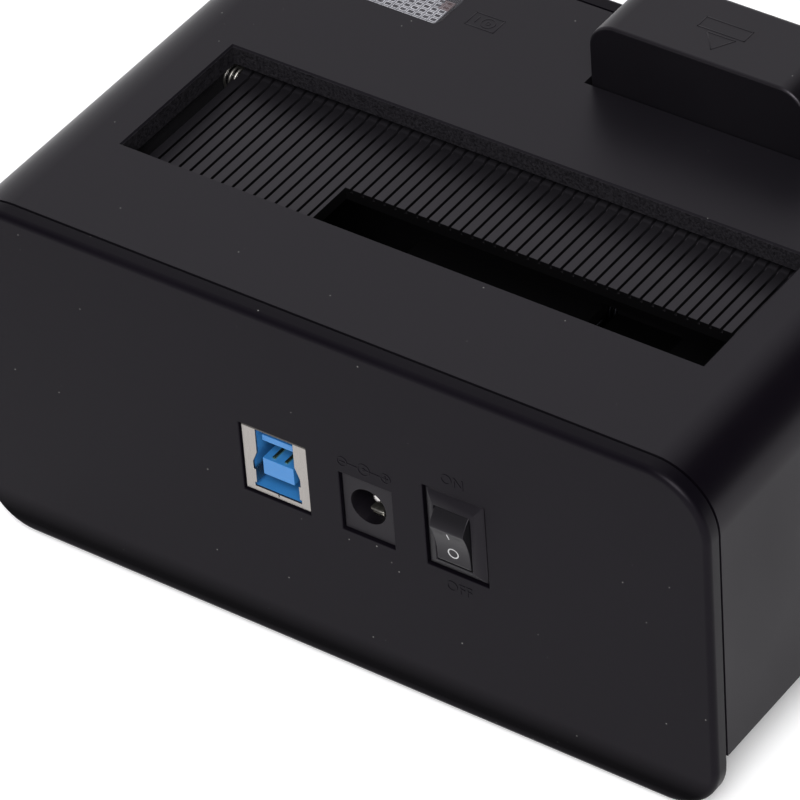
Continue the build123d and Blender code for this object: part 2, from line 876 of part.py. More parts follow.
def make_eject_button():
    """Hollow button with rounded shoulders, retaining hooks and a leg down to the arm."""
    half = button_width / 2
    crown = top_z + button_proud
    face = rect(button_x - half, button_x + half, skirt_bottom_z, crown)
    face = fillet(face.vertices().group_by(Axis.Y)[-1], button_corner_r)
    body = along_y(face, button_front_y, button_rear_y)
    rear_edges = body.faces().sort_by(Axis.Y)[-1].edges().filter_by(lambda e: e.center().Z > top_z)
    body = fillet(rear_edges, button_rear_r)
    front_edges = body.faces().sort_by(Axis.Y)[0].edges().filter_by(lambda e: e.center().Z > top_z)
    body = fillet(front_edges, button_front_r)
    inner_half = half - button_wall
    hollow = rect(button_x - inner_half, button_x + inner_half, skirt_bottom_z - overrun, crown - button_wall)
    hollow = fillet(hollow.vertices().group_by(Axis.Y)[-1], button_corner_r - button_wall)
    body -= along_y(hollow, button_front_y + button_wall, button_rear_y - button_wall)
    hook_top = guide_bottom_z - seat_gap
    for side in (-1, 1):
        inner_x = button_x + side * (half - button_wall)
        outer_x = button_x + side * (half + button_end_gap + hook_reach)
        body += block(
            min(inner_x, outer_x), max(inner_x, outer_x),
            button_front_y + button_wall, button_rear_y - button_wall,
            hook_top - hook_height, hook_top,
        )
    return body + button_leg(crown)


def button_leg(crown):
    """Leg from the button's roof to a foot on the arm's nose, stiffened by a gusset."""
    nose_y = leg_y
    foot_z = arm_z + arm_nose_r + seat_gap
    half = leg_width / 2
    leg = block(
        button_x - half, button_x + half, nose_y, nose_y + leg_thickness,
        foot_z, crown - button_wall / 2,
    )
    foot = block(
        button_x - half, button_x + half, nose_y - leg_foot_lead, nose_y + leg_foot_reach,
        foot_z, foot_z + leg_thickness,
    )
    rib = outline(
        (nose_y, foot_z), (nose_y + leg_foot_reach, foot_z + leg_thickness),
        (nose_y + leg_thickness, foot_z + leg_thickness + leg_gusset), (nose_y, foot_z + leg_gusset),
    )
    return leg + foot + along_x(rib, button_x - leg_thickness / 2, button_x + leg_thickness / 2)


def make_eject_arm():
    """Level lever: rounded nose under the button's leg, hub on the pin, toe under the drive."""
    nose_y = leg_y
    toe_y = arm_y + arm_toe_reach
    low, high = arm_z - arm_thickness / 2, arm_z + arm_thickness / 2
    toe_top = drive_floor_z - arm_toe_gap
    bar = rect(nose_y, toe_y + arm_toe_length, low, high)
    toe = outline(
        (toe_y - arm_thickness, high), (toe_y, toe_top),
        (toe_y + arm_toe_length, toe_top), (toe_y + arm_toe_length, high),
    )
    face = bar + toe + Pos(nose_y, arm_z) * Circle(arm_nose_r) + Pos(arm_y, arm_z) * Circle(arm_hub_r)
    arm = along_x(face, arm_right_x, arm_left_x)
    lug_y = arm_y - arm_lug_reach
    lug_low = arm_z - arm_coil_r + arm_wire_r + slip_fit
    arm += block(
        arm_left_x - arm_thickness, arm_left_x + seat_gap + 2 * arm_wire_r + seat_gap,
        lug_y, lug_y + arm_lug_length, lug_low, high,
    )
    return arm - rod_x(arm_y, arm_z, arm_pin_r + bearing_play, arm_right_x - overrun, arm_left_x + overrun)


def make_eject_arm_pin():
    """Steel pin through the two ears, headed at one end."""
    far = left_ear_x + ear_thickness
    head = rod_x(arm_y, arm_z, pin_head_r, far, far + pin_head_h)
    return rod_x(arm_y, arm_z, arm_pin_r, right_ear_x - pin_head_h, far) + head


def make_eject_spring():
    """Return spring on the arm's pin, which lifts the nose and so the button."""
    return torsion_spring(
        "eject_spring", arm_y, arm_z, arm_left_x + seat_gap + arm_wire_r, arm_coil_r, arm_wire_r,
        arm_coil_pitch, -90, 360 * arm_coil_turns, (arm_spring_leg, arm_stop_leg),
    )


# Status lights

def make_light_window():
    """Clear lens, flush with the top, on a flange behind the wall."""
    lens = along_z(window_face(0), diffuser_top_z, top_z)
    return lens + along_z(window_face(window_flange), diffuser_top_z, under_top_z)


def make_light_diffuser():
    """Open tray behind the lens, divided by ribs into light cells."""
    outer = window_face(window_flange)
    tray = along_z(outer, diffuser_bottom_z, diffuser_top_z)
    inner = window_face(window_flange - diffuser_wall)
    tray -= along_z(inner, diffuser_bottom_z - overrun, diffuser_top_z - diffuser_wall)
    step = window_length / (diffuser_rib_count + 1)
    for index in range(1, diffuser_rib_count + 1):
        x = window_start_x + index * step
        tray += block(
            x - diffuser_wall / 2, x + diffuser_wall / 2, window_front_y, window_rear_y,
            diffuser_bottom_z + lamp_height + seat_gap, diffuser_top_z - diffuser_wall / 2,
        )
    return tray


def make_light_board():
    """Small board that closes the diffuser from below."""
    return along_z(window_face(window_flange), light_board_bottom_z, diffuser_bottom_z)


def lamp_places():
    """Centres of the lamps along the window."""
    x = (window_start_x + window_end_x) / 2
    y = (window_front_y + window_rear_y) / 2
    return [(x + step * lamp_pitch, y) for step in (-1, 0, 1)]


def make_status_lamps():
    """Lamps on the light board."""
    half = lamp_size / 2
    lamps = [
        block(x - half, x + half, y - half, y + half, diffuser_bottom_z, diffuser_bottom_z + lamp_height)
        for x, y in lamp_places()
    ]
    return Compound([lamp.solids()[0] for lamp in lamps])


def make_light_lead():
    """Lead from the light board down past the flap's pocket and under the cradle to its header."""
    start_x = window_start_x + lead_bend_r
    start_y = (window_front_y + window_rear_y) / 2
    header_y = board_front_y + lead_header_inset
    low_z = board_top_z + lead_low_run
    route = [
        (start_x, start_y, light_board_bottom_z),
        (start_x, start_y, low_z),
        (lead_header_x, arm_y - arm_hub_r, low_z),
        (lead_header_x, header_y, low_z),
    ]
    path = FilletPolyline(*route, radius=lead_bend_r).wire()
    section = Plane(origin=path @ 0, z_dir=path % 0) * Circle(lead_r)
    lead = sweep(section, path=path)
    print("light_lead volume over section times length", round(lead.volume / (section.area * path.length), 4))
    return lead


def make_lead_header():
    """Socket on the main board for the lead."""
    half = lead_header_width / 2
    y = board_front_y + lead_header_inset
    return block(
        lead_header_x - half, lead_header_x + half, y, y + lead_header_length,
        board_top_z, board_top_z + lead_header_height,
    )


# Main board and the drive connector

def make_main_board():
    """Board under the cradle, clear of the flap's pocket, with its four screw holes."""
    board = block(-board_half_width, board_half_width, board_front_y, board_rear_y, board_bottom_z, board_top_z)
    board -= block(
        pocket_right_x - cradle_wall - finger_play, board_half_width + overrun,
        board_front_y - overrun, board_step_y, board_bottom_z - overrun, board_top_z + overrun,
    )
    r = tab_screw_shank_r + slip_fit
    return board - [
        rod_z(x, y, r, board_bottom_z - overrun, board_top_z + overrun) for x, y in standoff_places()
    ]


def make_board_screws():
    """Four screws up through the board into the cradle's posts."""
    screws = [
        screw_up(x, y, board_bottom_z, tab_screw_head_r, tab_screw_head_h, tab_screw_shank_r, board_screw_length)
        for x, y in standoff_places()
    ]
    return Compound([screw.solids()[0] for screw in screws])


def key_slot_face(right_x, width):
    """L-shaped slot for one row of contacts, its hook at the outer end, in X and Y."""
    y0, y1 = connector_y - key_slot / 2, connector_y + key_slot / 2
    return rect(right_x, right_x + width, y0, y1) + rect(
        right_x, right_x + key_slot, y0 - key_hook / 2, y1
    )


def connector_slots():
    """Right-hand ends and widths of the data and the power slot."""
    total = data_slot_width + slot_spacing + power_slot_width
    data_x = connector_x - total / 2
    return (data_x, data_slot_width), (data_x + data_slot_width + slot_spacing, power_slot_width)


def make_sata_housing():
    """Upright drive connector: a broad base on the board and a slotted head through the floor."""
    half, deep = connector_width / 2, connector_depth / 2
    head_half, head_deep = connector_head_width / 2, connector_head_depth / 2
    base = block(
        connector_x - half, connector_x + half, connector_y - deep, connector_y + deep,
        board_top_z, floor_under_z - seat_gap,
    )
    head_top = drive_floor_z + connector_rise
    head = along_z(
        rect(connector_x - head_half, connector_x + head_half, connector_y - head_deep, connector_y + head_deep),
        floor_under_z - connector_play, head_top,
    )
    head = chamfer(head.edges().group_by(Axis.Z)[-1], well_chamfer)
    slots = [
        along_z(key_slot_face(x, width), head_top - slot_depth, head_top + overrun)
        for x, width in connector_slots()
    ]
    return base + head - slots


def make_sata_contacts():
    """Spring contacts standing against one side of each slot."""
    head_top = drive_floor_z + connector_rise
    contacts = []
    for (x, width), count in zip(connector_slots(), (data_contacts, power_contacts)):
        middle = x + key_slot / 2 + width / 2
        for index in range(count):
            centre = middle + (index - (count - 1) / 2) * contact_pitch
            low_y = connector_y + key_slot / 2 - contact_thickness
            contacts.append(
                block(
                    centre - contact_width / 2, centre + contact_width / 2,
                    low_y, low_y + contact_thickness,
                    head_top - slot_depth, head_top - well_chamfer,
                )
            )
    return Compound([contact.solids()[0] for contact in contacts])


def make_controller_chip():
    """Bridge chip, flat on the board."""
    half = chip_size / 2
    top = board_top_z + chip_height
    return block(connector_x - half, connector_x + half, chip_y - half, chip_y + half, board_top_z, top)


def make_capacitors():
    """Two round capacitor cans beside the supply socket."""
    y = board_rear_y - capacitor_inset
    x = capacitor_side_inset - board_half_width
    cans = [
        rod_z(x, y + step * capacitor_pitch, capacitor_r, board_top_z, board_top_z + capacitor_height)
        for step in (0, 1)
    ]
    cans = [chamfer(can.edges().group_by(Axis.Z)[-1], capacitor_edge) for can in cans]
    return Compound([can.solids()[0] for can in cans])


def make_power_coil():
    """Square shielded coil of the supply."""
    half = coil_size / 2
    x = board_half_width - coil_side_inset
    y = board_rear_y - capacitor_inset
    face = soft_rect(x - half, x + half, y - half, y + half, coil_corner_r)
    return along_z(face, board_top_z, board_top_z + coil_height)


def make_crystal():
    """Oblong metal crystal can."""
    x = connector_x - crystal_from_chip
    half, deep = crystal_length / 2, crystal_width / 2
    face = soft_rect(x - half, x + half, chip_y - deep, chip_y + deep, deep - slip_fit)
    return along_z(face, board_top_z, board_top_z + crystal_height)


# USB socket

def usb_box(grow):
    """Outline of the socket's can in X and Z, grown on every side."""
    half = usb_width / 2 - port_play + grow
    low = port_bottom_z - grow
    high = port_bottom_z + usb_height - 2 * port_play + grow
    return rect(usb_x - half, usb_x + half, low, high)


def usb_mouth(grow):
    """The mouth's outline: narrow above, wider below a sloped shoulder."""
    top = port_bottom_z + usb_height - 2 * port_play
    narrow, wide = usb_upper_width / 2 + grow, usb_lower_width / 2 + grow
    shoulder = top - usb_shoulder_drop
    low = port_bottom_z + usb_bottom_lip - grow
    high = top - usb_top_lip + grow
    return outline(
        (usb_x - narrow, high), (usb_x + narrow, high),
        (usb_x + narrow, shoulder), (usb_x + wide, shoulder - usb_shoulder_slope),
        (usb_x + wide, low), (usb_x - wide, low),
        (usb_x - wide, shoulder - usb_shoulder_slope), (usb_x - narrow, shoulder),
    )


def make_usb_shell():
    """Folded sheet can with a front flange, its seam and two spring fingers."""
    mouth_y = rear_y - usb_recess
    can = along_y(usb_box(0), mouth_y - usb_depth, mouth_y)
    can -= along_y(usb_box(-sheet), mouth_y - usb_depth - overrun, mouth_y - sheet)
    can -= along_y(usb_mouth(0), mouth_y - sheet - overrun, mouth_y + overrun)
    low = port_bottom_z + usb_bottom_lip
    can -= block(
        usb_x - usb_seam / 2, usb_x + usb_seam / 2, mouth_y - sheet - overrun, mouth_y + overrun,
        port_bottom_z + sheet, low + overrun,
    )
    wide = usb_lower_width / 2
    for side in (-1, 1):
        inner, edge, root = [usb_x + side * (wide + step) for step in (-sheet, 0, sheet)]
        z0, z1 = low + 2 * sheet, low + 2 * sheet + usb_finger_height
        can += block(min(inner, edge), max(inner, edge), mouth_y - usb_finger_length, mouth_y, z0, z1)
        can += block(min(inner, root), max(inner, root), mouth_y - sheet, mouth_y, z0, z1)
    return can


def make_usb_insulator():
    """Plastic core of the socket: stepped cavity, main tongue and upper bridge."""
    mouth_y = rear_y - usb_recess - sheet - slip_fit
    back_y = rear_y - usb_recess - usb_depth
    core = along_y(usb_box(-sheet - bearing_play), back_y, mouth_y)
    top = port_bottom_z + usb_height - 2 * port_play
    core -= along_y(usb_mouth(slip_fit), mouth_y - usb_cavity_depth, mouth_y + overrun)
    half = usb_tongue_width / 2
    tongue_top = top - usb_tongue_drop
    tongue = block(
        usb_x - half, usb_x + half, back_y, mouth_y, tongue_top - usb_tongue_height, tongue_top
    )
    bridge_top = top - usb_bridge_drop
    bridge = block(
        usb_x - half, usb_x + half, back_y, mouth_y - seat_gap, bridge_top - usb_bridge_height, bridge_top
    )
    return core + [tongue, bridge]


def make_usb_contacts():
    """Five contacts on the bridge and two pairs above and below the tongue."""
    mouth_y = rear_y - usb_recess - sheet - slip_fit
    start = mouth_y - seat_gap - usb_contact_length
    top = port_bottom_z + usb_height - 2 * port_play
    bridge_low = top - usb_bridge_drop - usb_bridge_height
    tongue_top = top - usb_tongue_drop
    tongue_low = tongue_top - usb_tongue_height
    rows = [
        (5, usb_tongue_width / 5.5, bridge_low - usb_contact_thickness),
        (2, usb_tongue_width / 2.5, tongue_top),
        (2, usb_tongue_width / 2.5, tongue_low - usb_contact_thickness),
    ]
    contacts = []
    for count, pitch, low in rows:
        for index in range(count):
            x = usb_x + (index - (count - 1) / 2) * pitch
            contacts.append(
                block(
                    x - usb_contact_width / 2, x + usb_contact_width / 2,
                    start, mouth_y - 2 * seat_gap, low, low + usb_contact_thickness,
                )
            )
    return Compound([contact.solids()[0] for contact in contacts])


# Supply socket

dc_top_z = port_bottom_z + dc_height - 2 * port_play
dc_bore_z = dc_top_z - dc_bore_drop + port_play
dc_mouth_y = rear_y - dc_recess


def make_dc_jack_body():
    """Moulded supply socket with a round bore and a side slot for its contact."""
    half = dc_width / 2 - port_play
    face = rect(dc_x - half, dc_x + half, port_bottom_z, dc_top_z)
    body = along_y(face, dc_mouth_y - dc_depth, dc_mouth_y)
    bore = rod_y(dc_x, dc_bore_z, dc_bore_r, dc_mouth_y - dc_bore_depth, dc_mouth_y + overrun)
    slot = block(
        dc_x - dc_contact_width / 2, dc_x + dc_contact_width / 2,
        dc_mouth_y - dc_bore_depth, dc_mouth_y - dc_pin_recess,
        dc_bore_z - dc_bore_r - dc_contact_thickness, dc_bore_z,
    )
    return body - [bore, slot]


def make_dc_jack_pin():
    """Centre pin with a rounded tip, stood in the back of the bore."""
    tip = dc_mouth_y - dc_pin_recess
    pin = rod_y(dc_x, dc_bore_z, dc_pin_r, dc_mouth_y - dc_bore_depth, tip)
    return fillet(pin.edges().group_by(Axis.Y)[-1], dc_pin_r * 2 / 3)


def make_dc_jack_contact():
    """Leaf contact along the floor of the bore."""
    low = dc_bore_z - dc_bore_r - dc_contact_thickness
    return block(
        dc_x - dc_contact_width / 2, dc_x + dc_contact_width / 2,
        dc_mouth_y - dc_bore_depth, dc_mouth_y - dc_pin_recess - seat_gap,
        low, low + dc_contact_thickness,
    )


# Power switch

def make_switch_body():
    """Switch housing whose bezel slopes up to the rocker's opening."""
    half = switch_width / 2 - port_play
    low, high = port_bottom_z, port_bottom_z + switch_height - 2 * port_play
    outer_y = rear_y - bezel_recess
    outer = rect(switch_x - half, switch_x + half, low, high)
    opening_half = rocker_opening_width / 2
    land_half = opening_half + bezel_land
    land_rise = rocker_opening_height / 2 + bezel_land
    middle = (low + high) / 2
    land = rect(switch_x - land_half, switch_x + land_half, middle - land_rise, middle + land_rise)
    body = along_y(outer, bezel_top_y - switch_depth, outer_y)
    body += loft([Plane.XZ.offset(-outer_y) * outer, Plane.XZ.offset(-bezel_top_y) * land])
    hollow_r = rocker_end_r + rocker_play
    body -= rod_x(rocker_y, middle, hollow_r, switch_x - opening_half, switch_x + opening_half)
    seat = rod_x(
        rocker_y, middle, rocker_pin_r + bearing_play,
        switch_x - opening_half - rocker_pin_length - slip_fit,
        switch_x + opening_half + rocker_pin_length + slip_fit,
    )
    return body - seat


def rocker_face():
    """Section of the rocker about its pivot, level in Y: hollow face and round ends."""
    half = math.radians(rocker_half_deg)
    side = math.radians(rocker_half_deg + rocker_swing_deg + rocker_half_deg / 2)
    crest = (rocker_end_r * math.cos(half), rocker_end_r * math.sin(half))
    flank = (rocker_end_r * math.cos(side), rocker_end_r * math.sin(side))
    between = (half + side) / 2
    bulge = (rocker_end_r * math.cos(between), rocker_end_r * math.sin(between))
    hollow = (crest[0] - rocker_face_sag, 0)
    edges = [
        ThreePointArc((crest[0], -crest[1]), hollow, crest),
        ThreePointArc(crest, bulge, flank),
        Polyline(flank, (-rocker_web / 2, rocker_web / 2), (-rocker_web / 2, -rocker_web / 2),
                 (flank[0], -flank[1])),
        ThreePointArc((flank[0], -flank[1]), (bulge[0], -bulge[1]), (crest[0], -crest[1])),
    ]
    return make_face(edges)


def make_switch_rocker():
    """Rocker at rest, its lower half pressed in, on two stub pins."""
    middle = port_bottom_z + (switch_height - 2 * port_play) / 2
    half = rocker_opening_width / 2 - rocker_play
    face = Pos(rocker_y, middle) * Rot(0, 0, -rocker_swing_deg / 2) * rocker_face()
    reach = half + rocker_play + rocker_pin_length
    pins = rod_x(rocker_y, middle, rocker_pin_r, switch_x - reach, switch_x + reach)
    return along_x(face, switch_x - half, switch_x + half) + pins


def make_switch_terminals():
    """Flat terminals from the switch's back down into the board."""
    back = bezel_top_y - switch_depth
    terminals = []
    for index in range(terminal_count):
        x = switch_x + (index - (terminal_count - 1) / 2) * terminal_pitch
        face = outline(
            (back, port_bottom_z + terminal_reach), (back - terminal_reach, port_bottom_z + terminal_reach),
            (back - terminal_reach, board_top_z), (back - terminal_reach + terminal_thickness, board_top_z),
            (back - terminal_reach + terminal_thickness, port_bottom_z + terminal_reach - terminal_thickness),
            (back, port_bottom_z + terminal_reach - terminal_thickness),
        )
        terminals.append(along_x(face, x - terminal_width / 2, x + terminal_width / 2))
    return Compound([terminal.solids()[0] for terminal in terminals])


makers = {
    "top_shell": make_top_shell,
    "rear_panel": make_rear_panel,
    "front_panel": make_front_panel,
    "bottom_cover": make_bottom_cover,
    "rubber_feet": make_rubber_feet,
    "cover_screws": make_cover_screws,
    "drive_cradle": make_drive_cradle,
    "cradle_screws": make_cradle_screws,
    "drive_flap": make_drive_flap,
    "flap_pin": make_flap_pin,
    "flap_spring": make_flap_spring,
    "eject_button": make_eject_button,
    "eject_arm": make_eject_arm,
    "eject_arm_pin": make_eject_arm_pin,
    "eject_spring": make_eject_spring,
    "light_window": make_light_window,
    "light_diffuser": make_light_diffuser,
    "light_board": make_light_board,
    "status_lamps": make_status_lamps,
    "light_lead": make_light_lead,
    "lead_header": make_lead_header,
    "main_board": make_main_board,
    "board_screws": make_board_screws,
    "sata_housing": make_sata_housing,
    "sata_contacts": make_sata_contacts,
    "controller_chip": make_controller_chip,
    "capacitors": make_capacitors,
    "power_coil": make_power_coil,
    "crystal": make_crystal,
    "usb_shell": make_usb_shell,
    "usb_insulator": make_usb_insulator,
    "usb_contacts": make_usb_contacts,
    "dc_jack_body": make_dc_jack_body,
    "dc_jack_pin": make_dc_jack_pin,
    "dc_jack_contact": make_dc_jack_contact,
    "switch_body": make_switch_body,
    "switch_rocker": make_switch_rocker,
    "switch_terminals": make_switch_terminals,
}

for name, make in makers.items():
    save(name, make())
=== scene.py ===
import json
import math

import bmesh
import bpy
from mathutils import Euler, Matrix, Vector
from mathutils.bvhtree import BVHTree


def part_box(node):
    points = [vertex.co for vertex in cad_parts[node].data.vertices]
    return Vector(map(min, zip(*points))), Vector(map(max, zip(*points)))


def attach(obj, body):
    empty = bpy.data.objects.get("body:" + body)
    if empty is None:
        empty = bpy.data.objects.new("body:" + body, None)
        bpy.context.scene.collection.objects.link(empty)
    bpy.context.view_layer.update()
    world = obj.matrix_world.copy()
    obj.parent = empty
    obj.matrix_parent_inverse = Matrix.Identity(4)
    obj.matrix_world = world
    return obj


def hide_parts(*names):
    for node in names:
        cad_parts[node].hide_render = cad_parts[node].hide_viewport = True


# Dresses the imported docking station: finishes, softened edges, light lattice, raised signs, floor, light
# and camera. Lengths are in millimetres where a name or comment says so, else in metres.

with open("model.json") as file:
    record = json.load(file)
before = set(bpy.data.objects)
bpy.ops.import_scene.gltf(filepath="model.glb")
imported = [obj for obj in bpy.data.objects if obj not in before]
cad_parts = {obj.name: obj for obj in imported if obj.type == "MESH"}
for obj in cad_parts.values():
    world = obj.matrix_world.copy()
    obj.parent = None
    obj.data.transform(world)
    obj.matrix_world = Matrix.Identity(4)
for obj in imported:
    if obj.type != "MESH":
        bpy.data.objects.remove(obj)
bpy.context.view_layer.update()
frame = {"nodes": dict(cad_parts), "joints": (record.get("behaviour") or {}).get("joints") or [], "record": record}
nodes = frame["nodes"]
mm = 0.001
weld = 0.0015 * mm
smooth_under = math.radians(40)


# Materials

violet_sheen = (0.97, 0.90, 1.0, 1)


def finish_tree(name, colour, roughness, metallic=0.0, specular=0.5):
    """A new material with its main shader, and Object coordinates to draw patterns from."""
    material = bpy.data.materials.new(name)
    material.use_nodes = True
    tree = material.node_tree
    shader = tree.nodes["Principled BSDF"]
    shader.inputs["Base Color"].default_value = (*colour, 1)
    shader.inputs["Roughness"].default_value = roughness
    shader.inputs["Metallic"].default_value = metallic
    shader.inputs["Specular IOR Level"].default_value = specular
    if metallic == 0.0 and max(colour) < 0.02:
        shader.inputs["Specular Tint"].default_value = violet_sheen
    place = tree.nodes.new("ShaderNodeTexCoord")
    return material, tree, shader, place.outputs["Object"]


def stretched(tree, place, scale):
    """Object coordinates drawn out along an axis, for brushed or drawn surfaces."""
    mapping = tree.nodes.new("ShaderNodeMapping")
    mapping.inputs["Scale"].default_value = scale
    tree.links.new(place, mapping.inputs["Vector"])
    return mapping.outputs["Vector"]


def noise(tree, place, scale, detail=3.0, roughness=0.55):
    """Soft random pattern; scale is counts per metre."""
    node = tree.nodes.new("ShaderNodeTexNoise")
    node.inputs["Scale"].default_value = scale
    node.inputs["Detail"].default_value = detail
    node.inputs["Roughness"].default_value = roughness
    tree.links.new(place, node.inputs["Vector"])
    return node.outputs["Fac"]


def spread(tree, value, low, high, to_low, to_high):
    """One range of values turned into another, held at its ends."""
    node = tree.nodes.new("ShaderNodeMapRange")
    node.inputs["From Min"].default_value = low
    node.inputs["From Max"].default_value = high
    node.inputs["To Min"].default_value = to_low
    node.inputs["To Max"].default_value = to_high
    tree.links.new(value, node.inputs["Value"])
    return node.outputs["Result"]


def blended(tree, share, first, second):
    """Two colours mixed by a pattern."""
    node = tree.nodes.new("ShaderNodeMix")
    node.data_type = "RGBA"
    tree.links.new(share, node.inputs["Factor"])
    for socket, colour in (("A", first), ("B", second)):
        target = [s for s in node.inputs if s.name == socket and s.type == "RGBA"][0]
        if isinstance(colour, tuple):
            target.default_value = (*colour, 1)
        else:
            tree.links.new(colour, target)
    return [s for s in node.outputs if s.type == "RGBA"][0]


def worked(tree, operation, first, second=None):
    """A value worked out from one or two others; the second may be a plain number."""
    node = tree.nodes.new("ShaderNodeMath")
    node.operation = operation
    tree.links.new(first, node.inputs[0])
    if isinstance(second, float):
        node.inputs[1].default_value = second
    elif second is not None:
        tree.links.new(second, node.inputs[1])
    return node.outputs[0]


def split_place(tree, place):
    """The place's X, Y and Z, each by itself."""
    parts = tree.nodes.new("ShaderNodeSeparateXYZ")
    tree.links.new(place, parts.inputs[0])
    return parts.outputs


def opened(material):
    """A finish's tree, main shader and Object coordinates, for one more change."""
    tree = material.node_tree
    return tree, tree.nodes["Principled BSDF"], tree.nodes["Texture Coordinate"].outputs["Object"]


def retoned(tree, shader, mask, colour):
    """The finish's colour gives way to another as far as the mask is on."""
    before = shader.inputs["Base Color"].links[0].from_socket
    tree.links.new(blended(tree, mask, before, colour), shader.inputs["Base Color"])


def sheen_drift(tree, shader, pattern, roughness, less, more):
    """Roughness that wanders with a pattern, from a little less to a little more."""
    wander = spread(tree, pattern, 0.3, 0.7, roughness - less, roughness + more)
    tree.links.new(wander, shader.inputs["Roughness"])


def embossed(tree, shader, height, depth, strength, normal=None):
    """Bump from a height pattern; depth is in metres."""
    bump = tree.nodes.new("ShaderNodeBump")
    bump.inputs["Strength"].default_value = strength
    bump.inputs["Distance"].default_value = depth
    tree.links.new(height, bump.inputs["Height"])
    if normal is not None:
        tree.links.new(normal, bump.inputs["Normal"])
    tree.links.new(bump.outputs["Normal"], shader.inputs["Normal"])


def dust(tree, place, spacing, size):
    """Mask of a few tiny specks of dust, in cells of the given spacing, in millimetres."""
    cells = tree.nodes.new("ShaderNodeTexVoronoi")
    cells.inputs["Scale"].default_value = 1 / (spacing * mm)
    tree.links.new(place, cells.inputs["Vector"])
    reach = size / spacing
    near = spread(tree, cells.outputs["Distance"], reach * 0.6, reach, 1.0, 0.0)
    rare = spread(tree, noise(tree, place, 1 / (spacing * 2.7 * mm), 1.0), 0.55, 0.58, 0.0, 0.8)
    return worked(tree, "MULTIPLY", near, rare)


def moulded_plastic(
    name, colour, roughness, grain_mm=0.16, grain_strength=0.35, dusty=True, specular=0.20
):
    """Spark-eroded black plastic: fine grain, slow drift in gloss, a few specks of dust."""
    material, tree, shader, place = finish_tree(name, colour, roughness, specular=specular)
    grain = noise(tree, place, 1 / (grain_mm * mm), 4.0, 0.6)
    drift = noise(tree, place, 28, 3.0)
    sheen_drift(tree, shader, drift, roughness, 0.03, 0.04)
    lighter = tuple(c * 1.35 + 0.001 for c in colour)
    tone = blended(tree, drift, colour, lighter)
    if dusty:
        specks = dust(tree, place, spacing=2.6, size=0.15)
        tone = blended(tree, specks, tone, (0.20, 0.20, 0.19))
    tree.links.new(tone, shader.inputs["Base Color"])
    embossed(tree, shader, grain, 0.02 * mm, grain_strength)
    return material


def within(tree, place, low, high):
    """Mask of the space between two corners, in millimetres."""
    parts = split_place(tree, place)
    share = None
    for axis in range(3):
        near = tree.nodes.new("ShaderNodeMath")
        near.operation = "COMPARE"
        near.inputs[1].default_value = (low[axis] + high[axis]) / 2 * mm
        near.inputs[2].default_value = (high[axis] - low[axis]) / 2 * mm
        tree.links.new(parts[axis], near.inputs[0])
        inside = near.outputs[0]
        share = inside if share is None else worked(tree, "MULTIPLY", share, inside)
    return share


def shade_and_roughen_sides(tree, shader, place):
    """Painted shade darkens the shell's black over the shoulders, and its spark texture is coarser on the sides.
    """
    outward = worked(tree, "ABSOLUTE", split_place(tree, place)["X"])
    # Painted shade: the shell's base colour darkens over both shoulders
    painted_shoulder_shade = spread(tree, outward, 57.5 * mm, 62.0 * mm, 0.0, 0.9)
    retoned(tree, shader, painted_shoulder_shade, (0.0021, 0.0014, 0.0028))
    coarser = spread(tree, outward, 66.4 * mm, 67.5 * mm, 0.0, 0.16)
    before = shader.inputs["Roughness"].links[0].from_socket
    tree.links.new(worked(tree, "ADD", coarser, before), shader.inputs["Roughness"])


def shade_panel_foot(material, foot_z, heights, shares):
    """Painted reflection of the contact shadow: the panel's black darkens and its sheen dulls down to its lower
    rounding; heights over the foot in millimetres.
    """
    tree, shader, place = opened(material)
    reach = heights[-1]
    rise = spread(tree, split_place(tree, place)["Z"], foot_z, foot_z + reach * mm, 0.0, 1.0)
    ramp = tree.nodes.new("ShaderNodeValToRGB")
    tree.links.new(rise, ramp.inputs[0])
    stops = ramp.color_ramp.elements
    while len(stops) < len(heights):
        stops.new(0.5)
    for stop, height, share in zip(stops, heights, shares):
        stop.position = height / reach
        stop.color = (share, share, share, 1)
    retoned(tree, shader, ramp.outputs[0], (0.0002, 0.0001, 0.0004))
    sheen = shader.inputs["Specular IOR Level"]
    tree.links.new(spread(tree, ramp.outputs[0], 0.0, 1.0, sheen.default_value, 0.01), sheen)
    return material


def shell_finish(name, colour, roughness):
    """The shell's grained black, with the rougher spark texture on the well's walls."""
    material = moulded_plastic(name, colour, roughness)
    tree, shader, place = opened(material)
    walls = within(tree, place, *well_walls)
    pits = noise(tree, place, 1 / (0.42 * mm), 3.0, 0.7)
    pit_share = spread(tree, pits, 0.35, 0.65, 0, 1)
    speck = blended(tree, pit_share, (0.005, 0.0046, 0.0056), (0.018, 0.017, 0.0195))
    retoned(tree, shader, walls, speck)
    shade_and_roughen_sides(tree, shader, place)
    fine = shader.inputs["Normal"].links[0].from_socket
    embossed(tree, shader, worked(tree, "MULTIPLY", pits, walls), 0.09 * mm, 0.7, fine)
    return material


def masked_tone(material, low, high, colour):
    """Another tone of a finish inside a box, in millimetres."""
    tree, shader, place = opened(material)
    retoned(tree, shader, within(tree, place, low, high), colour)
    return material


def coarse_plastic(name, colour, roughness, specular=0.3):
    """Rougher wall of the bay, with a grain that can be seen."""
    material, tree, shader, place = finish_tree(name, colour, roughness, specular=specular)
    pits = tree.nodes.new("ShaderNodeTexVoronoi")
    pits.inputs["Scale"].default_value = 1 / (0.34 * mm)
    tree.links.new(place, pits.inputs["Vector"])
    drift = noise(tree, place, 60, 3.0)
    sheen_drift(tree, shader, drift, roughness, 0.05, 0.05)
    lighter = tuple(c * 1.5 for c in colour)
    tree.links.new(blended(tree, drift, colour, lighter), shader.inputs["Base Color"])
    embossed(tree, shader, pits.outputs["Distance"], 0.05 * mm, 0.5)
    return material


